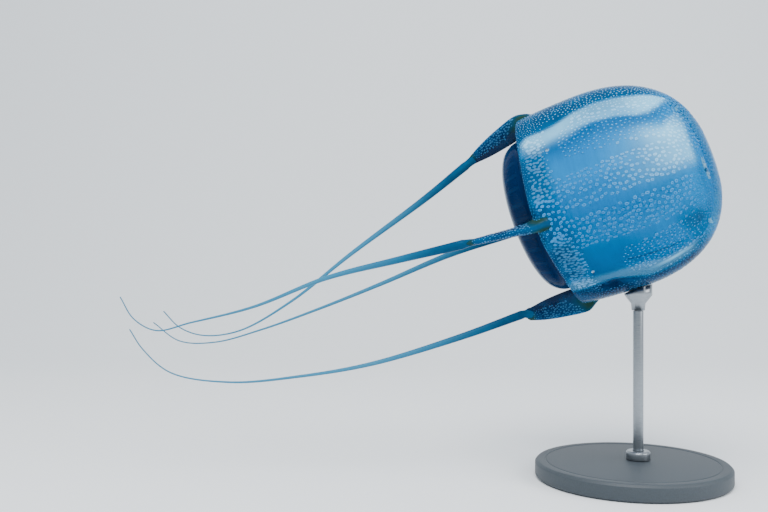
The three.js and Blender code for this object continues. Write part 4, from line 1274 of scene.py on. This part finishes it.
def fringe(name, corner, radius, level, span, dice):
    """A crescent's row of filaments, each a small tapered tube that leans its own way."""
    hairs = []
    for k in range(FILAMENTS):
        share = -0.9 + 1.8 * k / (FILAMENTS - 1)
        start = np.array((radius - share * share * CRESCENT_BOW, share * span / 2, level))
        reach = FILAMENT_LENGTH * (1 - 0.35 * share * share) * dice.uniform(0.75, 1.1)
        tip = start + np.array((dice.uniform(-0.6, 1.0), share * 0.8 + dice.uniform(-0.4, 0.4), reach))
        knee = (start + tip) / 2 + np.array([dice.uniform(-0.25, 0.25) for _ in range(3)])
        line = smooth_line([start, knee, tip], np.linspace(0, 1, len(FILAMENT_TAPER)))
        rings = tube(line, FILAMENT_RADIUS * FILAMENT_TAPER, FILAMENT_SIDES)
        hairs.append(loft(f"{name}_{k}", [to_row_frame(turned(ring, corner)) for ring in rings], "inner"))
    return hairs


for seed, (name, blade) in enumerate(PEDALIA.items()):
    radius, level, span, beyond = CRESCENTS[name]
    corner = blade["corner"] + beyond
    tuft = crescent(f"phacella_{name}_tuft", blade["corner"], *PAD, *PAD_SHAPE)
    form = (CRESCENT_BOW, CRESCENT_WIDTH, CRESCENT_HEIGHT, 0)
    bright = crescent(f"{name}_crescent", corner, radius, level, span, *form)
    take(tuft, bright, *fringe(name, corner, radius, level, span, random.Random(seed)))
    bpy.ops.object.join()
    bpy.ops.object.shade_smooth()
    tuft.data.materials.clear()
    tuft.data.materials.append(filament_flesh)
    if name == "near":  # a small dark meal lies on this one
        out_by, over_by, up_by = MEAL_OFFSET
        spot = to_row_frame(turned([(radius + out_by, over_by, level + up_by)], corner))[0]
        meal = ball(MEAL_RADIUS, [c / MM for c in spot], (0.8, 0.8, 1.1), segments=12)
        meal.data.materials.append(eye_pigment)
        take(tuft, meal)
        bpy.ops.object.join()
    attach(tuft, "root")
    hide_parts(f"phacella_{name}")


# ---- Manubrium ------------------------------------------------------------------------------
# The mouth tube hangs from the middle of the roof inside the bell and opens in four soft lips,
# thin and rolled outwards. It is one lofted tube with the mouth's hollow in its free end.

MANUBRIUM = [(8, 82.9), (6, 79.5), (4.6, 74), (4.6, 69.5), (6.4, 65.5)]
LIP, LIP_ROLL, LIP_TURNS = 0.22, 0.5, (30, 70, 110, 150)
MOUTH_RADIUS, MOUTH_DEPTH = 2.4, 7
MANUBRIUM_SIDES, MANUBRIUM_STEPS, MOUTH_STEPS = 48, 28, 5


def lip_ring(radius, level, lip):
    """A ring of the tube with four lobes, lip being how far they stand out."""
    angle = np.linspace(0, 2 * math.pi, MANUBRIUM_SIDES, endpoint=False)
    reach = radius * (1 + lip * np.cos(4 * angle))
    return to_row_frame(np.stack([reach * np.cos(angle), reach * np.sin(angle), level + 0 * angle], 1))


shares = np.linspace(0, 1, MANUBRIUM_STEPS)
rings = [lip_ring(r, z, LIP * s) for s, (r, z) in zip(shares, smooth_line(MANUBRIUM, shares))]
mouth_radius, mouth_level = MANUBRIUM[-1]
for turn in np.radians(LIP_TURNS):
    drop = LIP_ROLL * math.sin(turn)
    rings.append(lip_ring(mouth_radius - LIP_ROLL * (1 - math.cos(turn)), mouth_level - drop, LIP))
inner_radius = mouth_radius - 2 * LIP_ROLL
for share in np.linspace(0.25, 1, MOUTH_STEPS):
    radius = inner_radius + (MOUTH_RADIUS - inner_radius) * share**0.5
    rings.append(lip_ring(radius, mouth_level + MOUTH_DEPTH * share**1.5, LIP * (1 - 0.5 * share)))
manubrium = loft("manubrium_tube", rings, "inner")
manubrium.data.materials.append(filament_flesh)
take(manubrium)
bpy.ops.object.shade_smooth()
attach(manubrium, "root")
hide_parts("manubrium")


# ---- Stand ----------------------------------------------------------------------------------
# A turned steel disc with a matt powder coat carries a brushed steel rod in a clamped collar,
# and the cradle on top is cut to the bell, which rests in it.

BASE_EDGE, GROOVE_PLACE, GROOVE_DEPTH, GROOVE_WIDTH = 1.5, 6.0, 0.5, 0.9
COLLAR_EDGE, COLLAR_PLAY = 0.9, 0.3
EDGE_SOFTENING, COLLAR_SOFTENING = 0.3, 0.25
TURNING_STEPS, SHARP_ANGLE, CUP_SHARP_ANGLE = 96, math.radians(35), math.radians(40)
SAME_PLACE = 0.001 * MM
POWDER_GRAIN, POWDER_RELIEF = MM / 1.4, 0.08 * MM
BRUSHING = (MM / 0.3, MM / 0.3, 0.2 * MM)  # lines drawn out round the rod, coarser than real ones


def turned_part(name, node, profile, soften):
    """A lathe-turned part round the node's upright axis, profile in millimetres from its foot."""
    low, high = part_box(node)
    axis = Vector(((low.x + high.x) / 2, (low.y + high.y) / 2, 0))
    mesh = bpy.data.meshes.new(name)
    chain = [(axis.x + r * MM, axis.y, low.z + z * MM) for r, z in profile]
    mesh.from_pydata(chain, [(k, k + 1) for k in range(len(chain) - 1)], [])
    part = bpy.data.objects.new(name, mesh)
    bpy.context.scene.collection.objects.link(part)
    take(part)
    bpy.ops.object.mode_set(mode="EDIT")
    bpy.ops.mesh.select_all(action="SELECT")
    bpy.ops.mesh.spin(steps=TURNING_STEPS, angle=2 * math.pi, center=axis, axis=(0, 0, 1))
    bpy.ops.mesh.select_all(action="SELECT")
    bpy.ops.mesh.remove_doubles(threshold=SAME_PLACE)
    bpy.ops.mesh.normals_make_consistent(inside=False)
    bpy.ops.object.mode_set(mode="OBJECT")
    edge = part.modifiers.new("soften", "BEVEL")
    edge.width = soften * MM
    edge.segments = 3
    edge.limit_method = "ANGLE"
    bpy.ops.object.modifier_apply(modifier="soften")
    bpy.ops.object.shade_smooth_by_angle(angle=SHARP_ANGLE)
    return part


# Powder coat is baked polyester on steel: a dull, even slate grey with a fine grain to its gloss.
powder, tree, shader, pores = two_tone("slate_powder_coat", "#2b3238", "#3d464d", POWDER_GRAIN, 0.55)
relief = add_node(tree, "ShaderNodeBump", [("Height", pores), ("Distance", POWDER_RELIEF)])
tree.links.new(relief.outputs["Normal"], shader.inputs["Normal"])

# Stainless steel brushed round and round is bare metal: fine lines spread its highlights.
steel, tree, shader, lines = two_tone("brushed_stainless_steel", "#7c8288", "#a3a8ad", BRUSHING, 0.3)
shader.inputs["Metallic"].default_value = 1.0
rough = add_node(tree, "ShaderNodeMapRange", [("Value", lines), ("To Min", 0.22), ("To Max", 0.42)])
tree.links.new(rough.outputs["Result"], shader.inputs["Roughness"])


def size_of(node):
    """Radius and height of an upright round node in millimetres."""
    low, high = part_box(node)
    return (high.x - low.x) / 2 / MM, (high.z - low.z) / MM


radius, height = size_of("stand_base")
groove = radius - GROOVE_PLACE
base = turned_part("stand_base_disc", "stand_base", [
    (0, 0), (radius - BASE_EDGE, 0), (radius, BASE_EDGE), (radius, height - BASE_EDGE),
    (radius - BASE_EDGE, height), (groove, height), (groove - GROOVE_WIDTH / 2, height - GROOVE_DEPTH),
    (groove - GROOVE_WIDTH, height), (0, height),
], EDGE_SOFTENING)
base.data.materials.append(powder)
radius, height = size_of("stand_rod")
profile = [(0, 0), (radius, 0), (radius, height), (0, height)]
rod = turned_part("stand_rod_bar", "stand_rod", profile, EDGE_SOFTENING)
bore = radius + COLLAR_PLAY
radius, height = size_of("stand_collar")
collar = turned_part("stand_collar_ring", "stand_collar", [
    (bore, 0), (radius, 0), (radius, height - COLLAR_EDGE), (radius - COLLAR_EDGE, height),
    (bore, height), (bore, 0),
], COLLAR_SOFTENING)
cradle = bpy.data.objects.new("stand_cradle_cup", bpy.data.objects["stand_cradle"].data.copy())
bpy.context.scene.collection.objects.link(cradle)
take(cradle)
bpy.ops.object.mode_set(mode="EDIT")
bpy.ops.mesh.select_all(action="SELECT")
bpy.ops.mesh.remove_doubles(threshold=SAME_PLACE)
bpy.ops.object.mode_set(mode="OBJECT")
bpy.ops.object.shade_smooth_by_angle(angle=CUP_SHARP_ANGLE)
cradle.data.materials.clear()
for part in (rod, collar, cradle):
    part.data.materials.append(steel)
for part in (base, rod, collar, cradle):
    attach(part, "root")
    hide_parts(part.name.rsplit("_", 1)[0])
